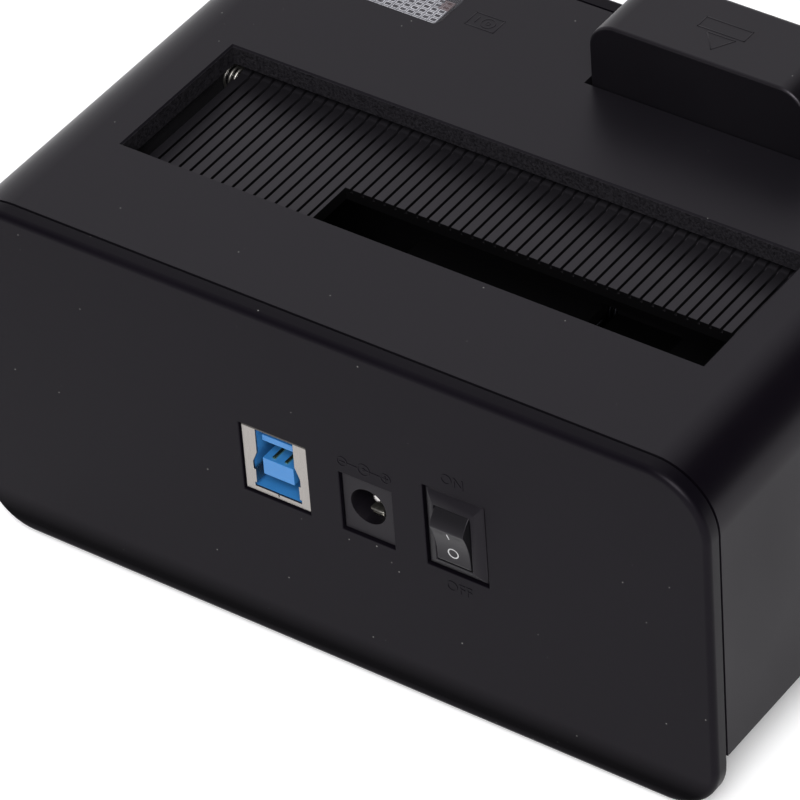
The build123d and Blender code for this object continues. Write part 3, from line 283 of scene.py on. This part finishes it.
def smooth_plastic(name, colour, roughness, specular=0.5):
    """Plain moulded plastic with faint flow marks."""
    material, tree, shader, place = finish_tree(name, colour, roughness, specular=specular)
    flow = noise(tree, stretched(tree, place, (160, 160, 60)), 1.0, 4.0)
    sheen_drift(tree, shader, flow, roughness, 0.04, 0.05)
    darker = tuple(c * 0.8 for c in colour)
    tree.links.new(blended(tree, flow, darker, colour), shader.inputs["Base Color"])
    embossed(tree, shader, noise(tree, place, 3000, 2.0), 0.01 * mm, 0.2)
    return material


def drawn_metal(name, colour, roughness, along, relief=0.25):
    """Wire, pin or sheet with fine drawing lines along one axis."""
    material, tree, shader, place = finish_tree(name, colour, roughness, metallic=1.0)
    scale = [2600.0, 2600.0, 2600.0]
    scale["xyz".index(along)] = 120.0
    lines = noise(tree, stretched(tree, place, scale), 1.0, 3.0)
    sheen_drift(tree, shader, lines, roughness, 0.06, 0.08)
    dull = tuple(c * 0.82 for c in colour)
    tree.links.new(blended(tree, lines, dull, colour), shader.inputs["Base Color"])
    embossed(tree, shader, lines, 0.006 * mm, relief)
    return material


def soft_rubber(name, colour):
    """Matt rubber with a dry bloom."""
    material, tree, shader, place = finish_tree(name, colour, 0.85)
    bloom = noise(tree, place, 220, 4.0)
    bloom_share = spread(tree, bloom, 0.35, 0.7, 0, 1)
    tree.links.new(blended(tree, bloom_share, colour, (0.05, 0.05, 0.05)), shader.inputs["Base Color"])
    sheen_drift(tree, shader, bloom, 0.85, 0.07, 0.07)
    embossed(tree, shader, noise(tree, place, 4200, 3.0), 0.03 * mm, 0.4)
    return material


def solder_resist(name):
    """Green board lacquer with tracks showing through."""
    lacquer = (0.012, 0.09, 0.03)
    material, tree, shader, place = finish_tree(name, lacquer, 0.3)
    tracks = tree.nodes.new("ShaderNodeTexBrick")
    tracks.inputs["Scale"].default_value = 120
    tracks.inputs["Mortar Size"].default_value = 0.06
    tree.links.new(place, tracks.inputs["Vector"])
    tone = blended(tree, tracks.outputs["Fac"], lacquer, (0.03, 0.16, 0.05))
    tree.links.new(tone, shader.inputs["Base Color"])
    embossed(tree, shader, tracks.outputs["Fac"], 0.03 * mm, 0.3)
    return material


def clear_window(name):
    """Clear acrylic with a hint of its moulded ripple."""
    material, tree, shader, place = finish_tree(name, (0.22, 0.22, 0.24), 0.08)
    shader.inputs["Alpha"].default_value = 0.16
    shader.inputs["IOR"].default_value = 1.49
    ripple = noise(tree, place, 500, 2.0)
    tree.links.new(spread(tree, ripple, 0.3, 0.7, 0.05, 0.12), shader.inputs["Roughness"])
    embossed(tree, shader, ripple, 0.02 * mm, 0.15)
    return material


def milky_plastic(name):
    """Milky moulding of the light cells and the lattice over them, warmer over the disk lamp, with painted
    highlight on the lattice's raised rims and painted shade in its pockets.
    """
    material, tree, shader, place = finish_tree(name, (0.5, 0.5, 0.54), 0.3)
    sheen = spread(tree, noise(tree, place, 900, 3.0), 0.35, 0.65, 0, 1)
    tone = blended(tree, sheen, (0.12, 0.12, 0.135), (0.19, 0.19, 0.21))
    # Painted highlight on the raised rims, painted shade down in the pockets
    rim_highlight = blended(tree, sheen, (0.62, 0.62, 0.66), (0.80, 0.80, 0.85))
    pocket = blended(tree, sheen, (0.035, 0.034, 0.039), (0.09, 0.087, 0.097))
    on_rim = within(tree, place, (20, -60, lattice_z + 0.03), (60, 0, lattice_z + 0.2))
    in_pocket = within(tree, place, (20, -60, 40), (60, 0, lattice_z - 0.02))
    tone = blended(tree, in_pocket, blended(tree, on_rim, tone, rim_highlight), pocket)
    warm = within(tree, place, (20, -60, 50), (31.4, warm_y, 70))
    tone = blended(tree, worked(tree, "MULTIPLY", warm, 0.75), tone, (0.10, 0.05, 0.048))
    tree.links.new(tone, shader.inputs["Base Color"])
    embossed(tree, shader, noise(tree, place, 3500, 2.0), 0.01 * mm, 0.3)
    return material


def printed_white(name):
    """White print, a little worn."""
    material, tree, shader, place = finish_tree(name, (0.5, 0.5, 0.5), 0.5)
    wear = spread(tree, noise(tree, place, 4200, 3.0), 0.3, 0.6, 0, 1)
    tree.links.new(blended(tree, wear, (0.30, 0.30, 0.31), (0.42, 0.42, 0.42)), shader.inputs["Base Color"])
    return material


# Heights over the panel's foot in millimetres, and how strongly painted shade darkens its black at each
foot_heights = (0.0, 1.0, 2.0, 3.0, 7.0)
foot_shade_shares = (0.0, 0.35, 0.9, 0.9, 0.0)
# Places where a finish changes tone: lowest and highest corner in millimetres
well_walls = ((-53.0, -8.2, 40.0), (53.0, 22.2, 64.25))
bay_rim = ((-60, -12, 54.0), (60, 24, 63))
# Painted shade: the flap is darker below its ribs' tops, in the grooves and on its cut face
shaded_rib_grooves = ((-60, -5, 20), (60, 40, 58.86))
# Painted shade: the can's folded top lip darkened, as a painted reflection of the dark
shaded_can_lip = ((0, 43.5, 41.36), (18, 45, 43))
# The lattice under the window's lens, and where the warm lamp's part of it ends
lattice_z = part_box("light_window")[1].z / mm - 2.0
lattice_cell = (1.43, 1.17)
# A cell's outline drawn inward and upward in turn: flat border, rise, rim, wall down into the pocket
lattice_steps = ((0.12, 0.0), (0.02, 0.06), (0.09, 0.0), (0.03, -0.30))
warm_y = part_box("light_window")[1].y / mm - 6.6

finishes = {
    "shell_plastic": shell_finish("shell_black", (0.0050, 0.0045, 0.0059), 0.34),
    # Painted shade along the panel's foot, for the contact shadow that its lower rounding reflects
    "panel_plastic": shade_panel_foot(
        moulded_plastic("panel_black", (0.0023, 0.0018, 0.0031), 0.36, specular=0.07),
        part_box("rear_panel")[0].z, foot_heights, foot_shade_shares,
    ),
    "cover_plastic": moulded_plastic(
        "cover_black", (0.010, 0.010, 0.011), 0.5, grain_mm=0.25, grain_strength=0.5, dusty=False
    ),
    "bay_plastic": masked_tone(
        coarse_plastic("bay_black", (0.003, 0.003, 0.0033), 0.55, specular=0.15),
        *bay_rim, (0.014, 0.0135, 0.015),
    ),
    # The flap's painted shade in its grooves and on its cut face
    "flap_plastic": masked_tone(
        moulded_plastic(
            "flap_black", (0.0060, 0.0056, 0.0068), 0.42,
            grain_mm=0.12, grain_strength=0.25, dusty=False, specular=0.36,
        ),
        *shaded_rib_grooves, (0.0012, 0.0012, 0.0013),
    ),
    "button_plastic": moulded_plastic(
        "button_black", (0.0024, 0.0021, 0.0029), 0.38, grain_mm=0.14, grain_strength=0.3, specular=0.30
    ),
    "arm_plastic": smooth_plastic("acetal_black", (0.003, 0.003, 0.0032), 0.45, specular=0.12),
    "foot_rubber": soft_rubber("foot_rubber", (0.02, 0.02, 0.02)),
    "screw_steel": drawn_metal("screw_zinc", (0.6, 0.61, 0.63), 0.32, "z"),
    "pin_steel": drawn_metal("pin_steel", (0.58, 0.58, 0.58), 0.22, "x"),
    "spring_steel": drawn_metal("spring_steel", (0.40, 0.385, 0.36), 0.42, "x", relief=0.05),
    "window_clear": clear_window("window_clear"),
    "diffuser_plastic": milky_plastic("diffuser_milky"),
    "light_laminate": solder_resist("light_board_green"),
    "lamp_resin": smooth_plastic("lamp_resin", (0.8, 0.78, 0.7), 0.15),
    "lead_jacket": soft_rubber("lead_jacket", (0.03, 0.03, 0.03)),
    "header_plastic": smooth_plastic("header_nylon", (0.72, 0.68, 0.56), 0.45),
    "board_laminate": solder_resist("main_board_green"),
    "connector_plastic": smooth_plastic("connector_black", (0.012, 0.012, 0.012), 0.4),
    "contact_gold": drawn_metal("contact_gold", (0.86, 0.66, 0.3), 0.22, "y"),
    "chip_resin": coarse_plastic("chip_resin", (0.02, 0.02, 0.02), 0.6),
    "capacitor_can": drawn_metal("capacitor_can", (0.8, 0.8, 0.81), 0.35, "z"),
    "coil_ferrite": coarse_plastic("coil_ferrite", (0.05, 0.05, 0.05), 0.7),
    "crystal_can": drawn_metal("crystal_can", (0.8, 0.79, 0.76), 0.2, "x"),
    # The can's top lip darkened by painted shade
    "usb_can": masked_tone(
        drawn_metal("usb_nickel", (0.365, 0.345, 0.325), 0.28, "z"), *shaded_can_lip, (0.07, 0.066, 0.06)
    ),
    "usb_core": smooth_plastic("usb_blue", (0.029, 0.172, 0.43), 0.38),
    "jack_plastic": smooth_plastic("jack_black", (0.0040, 0.0034, 0.0048), 0.42, specular=0.18),
    "jack_metal": drawn_metal("jack_nickel", (0.74, 0.72, 0.70), 0.24, "y"),
    "switch_plastic": moulded_plastic(
        "switch_black", (0.0030, 0.0026, 0.0037), 0.4,
        grain_mm=0.1, grain_strength=0.25, dusty=False, specular=0.14,
    ),
    "rocker_plastic": moulded_plastic(
        "rocker_black", (0.005, 0.0048, 0.0056), 0.33, grain_mm=0.1, grain_strength=0.2, dusty=False
    ),
    "terminal_tin": drawn_metal("terminal_tin", (0.8, 0.8, 0.8), 0.3, "y"),
}
mark_white = printed_white("mark_white")
# A darker copy of the spring steel for the eject spring: painted shade for its place deep in the notch, where
# bright wire glinted
shaded_spring_wire = drawn_metal("shaded_spring_steel", (0.022, 0.022, 0.026), 0.5, "x", relief=0.05)
leaf_nickel = drawn_metal("leaf_nickel", (0.34, 0.33, 0.30), 0.42, "y", relief=0.05)

slot_of = {entry["node"]: entry["material_slot"] for entry in frame["record"]["subparts"]}
joints = {joint["name"]: joint for joint in frame["joints"]}
body_of_node = {n: body for body, ns in frame["record"]["behaviour"]["bodies"].items() for n in ns}


def coat(piece, material):
    """One finish all over a piece."""
    piece.data.materials.clear()
    piece.data.materials.append(material)


def dress_nodes():
    """Every CAD node takes the finish of its slot."""
    for name, node in nodes.items():
        coat(node, finishes[slot_of[name]])


# Pieces that stand for CAD nodes, with softened edges

wall_depth = 0.3 * mm


def draw_in(work, low, high, slit):
    """Outer walls drawn in, so that the slit round the insert shows."""
    for vertex in work.verts:
        for axis in (0, 2):
            if vertex.co[axis] > high[axis] - wall_depth:
                vertex.co[axis] -= slit
            elif vertex.co[axis] < low[axis] + wall_depth:
                vertex.co[axis] += slit


def thin_top_lip(work):
    """The can's folded top edge is thinner than its other flanges, so its opening reaches higher."""
    low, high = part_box("usb_shell")
    flange_from, flange_to, flange_deep, thinner = 1.0 * mm, 0.8 * mm, 0.6 * mm, 0.42 * mm
    for vertex in work.verts:
        place = vertex.co
        in_lip = high.z - flange_from < place.z < high.z - flange_to
        if in_lip and place.y > high.y - flange_deep:
            place.z += thinner
    draw_in(work, low, high, 0.1 * mm)


def slit_round_switch(work):
    """Slit between the bezel and the panel."""
    draw_in(work, *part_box("switch_body"), 0.12 * mm)


def slit_round_jack(work):
    """Slit between the socket and the panel."""
    draw_in(work, *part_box("dc_jack_body"), 0.12 * mm)


reshaped = {
    "usb_shell": thin_top_lip,
    "switch_body": slit_round_switch,
    "dc_jack_body": slit_round_jack,
}


def pick(piece):
    """Only this piece selected and active."""
    bpy.ops.object.select_all(action="DESELECT")
    piece.select_set(True)
    bpy.context.view_layer.objects.active = piece


sharp_over = math.radians(32)
flat_under = math.radians(0.6)


def rounded_edges(skin, edge_mm):
    """A narrow bevel along a piece's sharp edges."""
    bevel = skin.modifiers.new("edges", "BEVEL")
    bevel.width = edge_mm * mm
    bevel.segments = 2
    bevel.limit_method = "ANGLE"
    bevel.angle_limit = sharp_over
    bevel.use_clamp_overlap = True
    bpy.ops.object.modifier_apply(modifier=bevel.name)


def soften(name, edge_mm):
    """A merged copy of a CAD node whose sharp edges get a small round, as moulded edges have."""
    mesh = nodes[name].data.copy()
    work = bmesh.new()
    work.from_mesh(mesh)
    if name in reshaped:
        reshaped[name](work)
    bmesh.ops.remove_doubles(work, verts=work.verts, dist=weld)
    bmesh.ops.dissolve_limit(work, angle_limit=flat_under, verts=work.verts, edges=work.edges)
    work.to_mesh(mesh)
    work.free()
    skin = bpy.data.objects.new(name + "_skin", mesh)
    bpy.context.scene.collection.objects.link(skin)
    pick(skin)
    if edge_mm:
        rounded_edges(skin, edge_mm)
    bpy.ops.object.shade_smooth_by_angle(angle=sharp_over)
    even = skin.modifiers.new("normals", "WEIGHTED_NORMAL")
    even.keep_sharp = True
    even.weight = 100
    bpy.ops.object.modifier_apply(modifier=even.name)
    coat(skin, finishes[slot_of[name]])
    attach(skin, body_of_node[name])
    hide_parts(name)


# Width of each node's edge rounding in millimetres; 0 only merges and shades it
softened_edges = {
    "top_shell": 0.12,
    "rear_panel": 0.12,
    "front_panel": 0.0,
    "bottom_cover": 0.2,
    "drive_flap": 0.16,
    "drive_cradle": 0.0,
    "eject_button": 0.0,
    "switch_body": 0.2,
    "switch_rocker": 0.16,
    "usb_shell": 0.05,
    "usb_insulator": 0.06,
    "dc_jack_body": 0.22,
    "dc_jack_pin": 0.0,
    "light_window": 0.1,
    "rubber_feet": 0.2,
}


def islands(work):
    """The separate shells of a mesh, as sets of faces, from low X up."""
    left, found = set(work.faces), []
    while left:
        waiting = [left.pop()]
        shell = set(waiting)
        while waiting:
            face = waiting.pop()
            beside = {other for edge in face.edges for other in edge.link_faces} & left
            left -= beside
            shell |= beside
            waiting += beside
        found.append(shell)
    return sorted(found, key=lambda shell: min(v.co.x for face in shell for v in face.verts))


def keep_shell(mesh, index, cut):
    """One of the two shells that the cut makes of a spring, its end closed."""
    work = bmesh.new()
    work.from_mesh(mesh)
    bmesh.ops.remove_doubles(work, verts=work.verts, dist=weld)
    axis_y, axis_z, cut_x, reach = cut
    everything = work.verts[:] + work.edges[:] + work.faces[:]
    ring_cut = bmesh.ops.bisect_plane(work, geom=everything, plane_co=(0, axis_y, 0), plane_no=(0, 1, 0))
    edges = [e for e in ring_cut["geom_cut"] if isinstance(e, bmesh.types.BMEdge)]
    middle = {e: (e.verts[0].co + e.verts[1].co) / 2 for e in edges}
    edges = [e for e in edges if middle[e].z < axis_z and abs(middle[e].x - cut_x) < reach]
    bmesh.ops.split_edges(work, edges=edges)
    shells = islands(work)
    others = [face for shell in shells[:index] + shells[index + 1:] for face in shell]
    bmesh.ops.delete(work, geom=others, context="FACES")
    rim = [edge for edge in work.edges if edge.is_boundary]
    bmesh.ops.holes_fill(work, edges=rim, sides=0)
    part = bpy.data.meshes.new("wire")
    work.to_mesh(part)
    work.free()
    return part


def part_spring(name, joint, body, pitch_mm, wire_mm):
    """A return spring in two halves: its moving leg and first turn go round with the body."""
    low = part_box(name)[0]
    axis = joint["pos_m"]
    cut = (axis[1], axis[2], low.x + (wire_mm + pitch_mm) * mm, pitch_mm * 0.5 * mm)
    for index, (ending, rides) in enumerate((("moving_leg", body), ("fixed_leg", "dock"))):
        mesh = keep_shell(nodes[name].data, index, cut)
        half = bpy.data.objects.new(name + "_" + ending, mesh)
        bpy.context.scene.collection.objects.link(half)
        pick(half)
        bpy.ops.object.shade_smooth_by_angle(angle=smooth_under)
        # The eject spring's halves take the darker copy of the spring steel, which is painted shade
        coat(half, shaded_spring_wire)
        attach(half, rides)
        if rides == "dock":
            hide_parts(name)


def repeated(piece, count, step):
    """Copies of a piece side by side along a step, their shared edges merged."""
    row = piece.modifiers.new("row", "ARRAY")
    row.count = count
    row.use_relative_offset = False
    row.use_constant_offset = True
    row.constant_offset_displace = step
    row.use_merge_vertices = True
    row.merge_threshold = 0.01 * mm
    bpy.ops.object.modifier_apply(modifier=row.name)


def make_lattice():
    """Moulded sheet of square pockets with raised rims, seen through the lens: one cell, repeated."""
    low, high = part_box("light_window")
    cell_x, cell_y = lattice_cell[0] * mm, lattice_cell[1] * mm
    columns, rows, margin = 13, 7, 3.0 * mm
    first_x = low.x + margin + cell_x / 2
    first_y = (low.y + high.y - rows * cell_y) / 2 + cell_y / 2
    bpy.ops.object.select_all(action="DESELECT")
    bpy.ops.mesh.primitive_plane_add(size=1, location=(first_x, first_y, lattice_z * mm))
    sheet = bpy.context.active_object
    sheet.name = "light_lattice"
    sheet.scale = (cell_x, cell_y, 1)
    bpy.ops.object.transform_apply(location=True, rotation=True, scale=True)
    bpy.ops.object.mode_set(mode="EDIT")
    bpy.ops.mesh.select_all(action="SELECT")
    for inward, upward in lattice_steps:
        bpy.ops.mesh.inset(thickness=inward * mm, depth=upward * mm)
    bpy.ops.object.mode_set(mode="OBJECT")
    repeated(sheet, columns, (cell_x, 0, 0))
    repeated(sheet, rows, (0, cell_y, 0))
    thick = sheet.modifiers.new("thickness", "SOLIDIFY")
    thick.thickness = 0.08 * mm
    thick.offset = -1
    bpy.ops.object.modifier_apply(modifier=thick.name)
    finish_sign(sheet, "dock", finishes["diffuser_plastic"])


def make_jack_leaf():
    """Rounded contact bump of the supply socket's leaf, at the bore's floor."""
    low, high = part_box("dc_jack_contact")
    bpy.ops.object.select_all(action="DESELECT")
    middle = ((low.x + high.x) / 2 + 0.5 * mm, high.y - 1.0 * mm, high.z + 0.16 * mm)
    bpy.ops.mesh.primitive_cube_add(size=1, location=middle)
    leaf = bpy.context.active_object
    leaf.name = "jack_leaf"
    leaf.scale = (2.7 * mm, 1.9 * mm, 0.66 * mm)
    bpy.ops.object.transform_apply(location=True, rotation=True, scale=True)
    bpy.ops.object.mode_set(mode="EDIT")
    bpy.ops.mesh.select_all(action="SELECT")
    bpy.ops.mesh.bevel(offset=0.3 * mm, segments=4)
    bpy.ops.object.mode_set(mode="OBJECT")
    finish_sign(leaf, "dock", leaf_nickel)


# Raised signs, drawn flat in millimetres and then laid on a face

def bar(start, end, width, height):
    """A raised line with rounded edges between two points of the sign's plane."""
    a, b = Vector((*start, 0)), Vector((*end, 0))
    middle = (a + b) / 2 * mm
    length = (b - a).length * mm + width * mm
    bpy.ops.object.select_all(action="DESELECT")
    bpy.ops.mesh.primitive_cube_add(size=1, location=middle)
    piece = bpy.context.active_object
    piece.scale = (length, width * mm, 2 * height * mm)
    piece.rotation_euler = (0, 0, math.atan2(b.y - a.y, b.x - a.x))
    bpy.ops.object.transform_apply(location=True, rotation=True, scale=True)
    bpy.ops.object.mode_set(mode="EDIT")
    bpy.ops.mesh.select_all(action="SELECT")
    bpy.ops.mesh.bevel(offset=height * 0.6 * mm, segments=2)
    bpy.ops.object.mode_set(mode="OBJECT")
    return piece


def ring(centre, radius, width, height):
    """A raised round line: a disc whose middle is taken out, drawn up, with its edges rounded."""
    place = (centre[0] * mm, centre[1] * mm, -height * mm)
    outer = (radius + width / 2) * mm
    bpy.ops.object.select_all(action="DESELECT")
    bpy.ops.mesh.primitive_circle_add(vertices=48, radius=outer, fill_type="NGON", location=place)
    piece = bpy.context.active_object
    bpy.ops.object.transform_apply(location=True, rotation=True, scale=True)
    bpy.ops.object.mode_set(mode="EDIT")
    bpy.ops.mesh.select_all(action="SELECT")
    bpy.ops.mesh.inset(thickness=width * mm, depth=0)
    bpy.ops.mesh.delete(type="FACE")
    bpy.ops.mesh.select_all(action="SELECT")
    bpy.ops.mesh.extrude_region_move(TRANSFORM_OT_translate={"value": (0, 0, 2 * height * mm)})
    bpy.ops.mesh.select_all(action="SELECT")
    bpy.ops.mesh.normals_make_consistent(inside=False)
    bpy.ops.mesh.select_all(action="DESELECT")
    bpy.ops.mesh.select_mode(type="EDGE")
    bpy.ops.mesh.edges_select_sharp(sharpness=math.radians(60))
    bpy.ops.mesh.bevel(offset=height * 0.6 * mm, segments=2)
    bpy.ops.object.mode_set(mode="OBJECT")
    return piece


def letters(words, size, height):
    """Raised generic words, centred on the sign's middle."""
    bpy.ops.object.select_all(action="DESELECT")
    bpy.ops.object.text_add()
    piece = bpy.context.active_object
    piece.data.body = words
    piece.data.size = size * mm
    piece.data.extrude = height * mm
    piece.data.align_x = "CENTER"
    piece.data.align_y = "CENTER"
    bpy.ops.object.convert(target="MESH")
    return bpy.context.active_object


def joined(name, pieces):
    """Several strokes made one piece."""
    bpy.ops.object.select_all(action="DESELECT")
    for piece in pieces:
        piece.select_set(True)
    bpy.context.view_layer.objects.active = pieces[0]
    if len(pieces) > 1:
        bpy.ops.object.join()
    sign = bpy.context.active_object
    sign.name = name
    return sign


def lay(sign, origin, across, up):
    """The sign's X and Y put along two directions of the dock, its middle at origin, in millimetres."""
    x, y = Vector(across).normalized(), Vector(up).normalized()
    z = x.cross(y)
    basis = Matrix((x, y, z)).transposed().to_4x4()
    basis.translation = Vector(origin) * mm
    sign.data.transform(basis)
    return sign


def settle(sign, node, out):
    """Each point of the sign let down onto the node's surface along a direction, keeping its own height."""
    tree = BVHTree.FromPolygons(
        [v.co.copy() for v in nodes[node].data.vertices],
        [tuple(p.vertices) for p in nodes[node].data.polygons],
    )
    out = Vector(out).normalized()
    levels = [v.co.dot(out) for v in sign.data.vertices]
    middle = (min(levels) + max(levels)) / 2
    well_above = 20 * mm
    for vertex, level in zip(sign.data.vertices, levels):
        hit = tree.ray_cast(vertex.co + out * well_above, -out)[0]
        if hit is not None:
            vertex.co = hit + out * (level - middle)


def finish_sign(sign, body, material):
    """A laid sign gets its finish and goes with its body."""
    pick(sign)
    bpy.ops.object.shade_smooth_by_angle(angle=smooth_under)
    coat(sign, material)
    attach(sign, body)


def box_mm(node):
    """A node's lowest and highest corner in millimetres."""
    low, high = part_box(node)
    return low / mm, high / mm


def outline(corners, width, height):
    """Raised lines from corner to corner and back to the first."""
    following = corners[1:] + corners[:1]
    return [bar(start, end, width, height) for start, end in zip(corners, following)]


def make_eject_sign():
    """Triangle over a bar, in outline, on the button's top; its place is the photographed one."""
    low, high = box_mm("eject_button")
    middle = ((low.x + high.x) / 2, -33.6, high.z)
    width, height = 0.22, 0.05
    triangle = [(-2.9, 0.2), (2.1, 0.2), (-0.8, 3.7)]
    box = [(-4.1, -3.0), (4.1, -3.0), (4.1, -0.4), (-4.1, -0.4)]
    strokes = outline(triangle, width, height) + outline(box, width, height)
    sign = lay(joined("eject_sign", strokes), middle, (1, 0, 0), (0, 1, 0))
    finish_sign(sign, "button", finishes["button_plastic"])


def make_drive_sign():
    """Outline of a drive beside the window: a box with its disc."""
    middle = (21.2, -31.9, box_mm("light_window")[1].z)
    width, height = 0.2, 0.05
    strokes = outline([(-2.6, -1.7), (2.6, -1.7), (2.6, 1.7), (-2.6, 1.7)], width, height)
    strokes += [
        ring((-0.6, 0), 1.15, width, height),
        ring((-0.6, 0), 0.35, width, height),
        bar((1.5, -0.9), (1.5, 0.6), width, height),
    ]
    sign = lay(joined("drive_sign", strokes), middle, (1, 0, 0), (0, 1, 0))
    finish_sign(sign, "dock", finishes["shell_plastic"])


def make_polarity_sign():
    """Generic sign of a supply socket with its positive centre."""
    middle = (-7.5, box_mm("rear_panel")[1].y, 42.4)
    width, height = 0.2, 0.06
    strokes = [
        ring((-3.9, 0), 0.85, width, height),
        bar((-4.3, 0), (-3.5, 0), width, height),
        bar((-3.0, 0), (-1.3, 0), width, height),
        ring((0, 0), 1.05, width, height),
        ring((0, 0), 0.22, 0.3, height),
        bar((0.3, 0), (2.9, 0), width, height),
        ring((3.9, 0), 0.85, width, height),
        bar((3.5, 0), (4.3, 0), width, height),
        bar((3.9, -0.4), (3.9, 0.4), width, height),
    ]
    sign = lay(joined("polarity_sign", strokes), middle, (-1, 0, 0), (0, 0, 1))
    finish_sign(sign, "dock", finishes["panel_plastic"])


def make_switch_words():
    """Raised ON above the switch and OFF below it."""
    face_y = box_mm("rear_panel")[1].y
    low, high = box_mm("switch_body")
    x = (low.x + high.x) / 2
    gap, size, height = 2.9, 2.7, 0.06
    for words, z in (("ON", high.z + gap), ("OFF", low.z - gap)):
        sign = joined("switch_" + words.lower(), [letters(words, size, height)])
        lay(sign, (x, face_y, z), (-1, 0, 0), (0, 0, 1))
        finish_sign(sign, "dock", finishes["panel_plastic"])


def make_rocker_marks():
    """White line and ring printed on the rocker's hollow face."""
    low, high = box_mm("switch_rocker")
    x = (low.x + high.x) / 2
    width, height = 0.2, 0.03
    line = joined("rocker_line", [bar((0, -0.6), (0, 0.6), width, height)])
    circle = joined("rocker_ring", [ring((0, 0), 0.86, width, height)])
    for mark, mark_x, mark_z in ((line, x + 0.1, 37.75), (circle, x, 33.9)):
        lay(mark, (mark_x, high.y, mark_z), (-1, 0, 0), (0, 0, 1))
        settle(mark, "switch_rocker", (0, 1, 0))
        finish_sign(mark, "rocker", mark_white)


# Floor, light and camera

def make_floor():
    """Plain pale floor with a faint glow of its own, which lightens the shadows on it."""
    bpy.ops.object.select_all(action="DESELECT")
    bpy.ops.mesh.primitive_plane_add(size=8, location=(0, 0, 0))
    floor = bpy.context.active_object
    floor.name = "floor"
    material, tree, shader, place = finish_tree("floor_white", (0.96, 0.96, 0.96), 0.6)
    patch = noise(tree, place, 2, 2.0)
    tree.links.new(blended(tree, patch, (0.95, 0.95, 0.95), (0.97, 0.97, 0.97)), shader.inputs["Base Color"])
    shader.inputs["Emission Color"].default_value = (1, 1, 1, 1)
    shader.inputs["Emission Strength"].default_value = 0.14
    coat(floor, material)


def set_tone():
    """Plain tone curve, so that the pale floor comes out white as in the photograph."""
    settings = bpy.context.scene.view_settings
    settings.view_transform = "Standard"
    settings.look = "None"


def dark_way(tree, facing, direction, low, high):
    """Mask of the room's directions near the given one; low and high are cosines of the angle from it."""
    turn = tree.nodes.new("ShaderNodeVectorMath")
    turn.operation = "DOT_PRODUCT"
    turn.inputs[1].default_value = Vector(direction).normalized()
    tree.links.new(facing, turn.inputs[0])
    return spread(tree, turn.outputs["Value"], low, high, 0.0, 1.0)


def make_room_light():
    """White room with two dark sides, which the right shoulder and the rear panel's edge reflect."""
    world = bpy.data.worlds.new("white_room")
    bpy.context.scene.world = world
    world.use_nodes = True
    tree = world.node_tree
    background = tree.nodes["Background"]
    way = tree.nodes.new("ShaderNodeTexCoord")
    facing = way.outputs["Generated"]
    shoulder_side = dark_way(tree, facing, (-0.77, -0.60, 0.18), 0.40, 0.72)
    edge_side = dark_way(tree, facing, (0.47, 0.64, 0.61), 0.82, 0.97)
    darker = worked(tree, "MAXIMUM", shoulder_side, edge_side)
    tone = blended(tree, darker, (0.86, 0.85, 0.88), (0.0, 0.0, 0.0))
    tree.links.new(tone, background.inputs["Color"])
    background.inputs["Strength"].default_value = 1.0


def soft_lamp(name, place, aim, size, energy):
    """Square soft light at a place, aimed at a point."""
    data = bpy.data.lights.new(name, "AREA")
    data.shape = "SQUARE"
    data.size = size
    data.energy = energy
    lamp = bpy.data.objects.new(name, data)
    bpy.context.scene.collection.objects.link(lamp)
    lamp.location = place
    lamp.rotation_euler = (Vector(aim) - Vector(place)).to_track_quat("-Z", "Y").to_euler()


def make_lights():
    """Large soft light behind the camera, which keeps the floor white."""
    soft_lamp("key_light", (-0.75, 1.25, 1.5), (0, 0, 0), size=1.1, energy=46)


def make_camera():
    """Camera solved from the photograph: place, turn and lens."""
    data = bpy.data.cameras.new("camera")
    data.lens = 266.339
    data.sensor_width = 36
    data.clip_start, data.clip_end = 0.05, 20
    camera = bpy.data.objects.new("camera", data)
    bpy.context.scene.collection.objects.link(camera)
    camera.location = (-0.415266, 0.567343, 0.604987)
    turn = [math.radians(a) for a in (50.23775, 3.44845, -145.43064)]
    camera.rotation_euler = Euler(turn, "XYZ")
    bpy.context.scene.camera = camera


dress_nodes()
for node_name, edge in softened_edges.items():
    soften(node_name, edge)
part_spring("eject_spring", joints["arm_pivot"], "arm", pitch_mm=1.05, wire_mm=0.3)
make_lattice()
make_jack_leaf()
make_eject_sign()
make_drive_sign()
make_polarity_sign()
make_switch_words()
make_rocker_marks()
make_floor()
set_tone()
make_room_light()
make_lights()
make_camera()
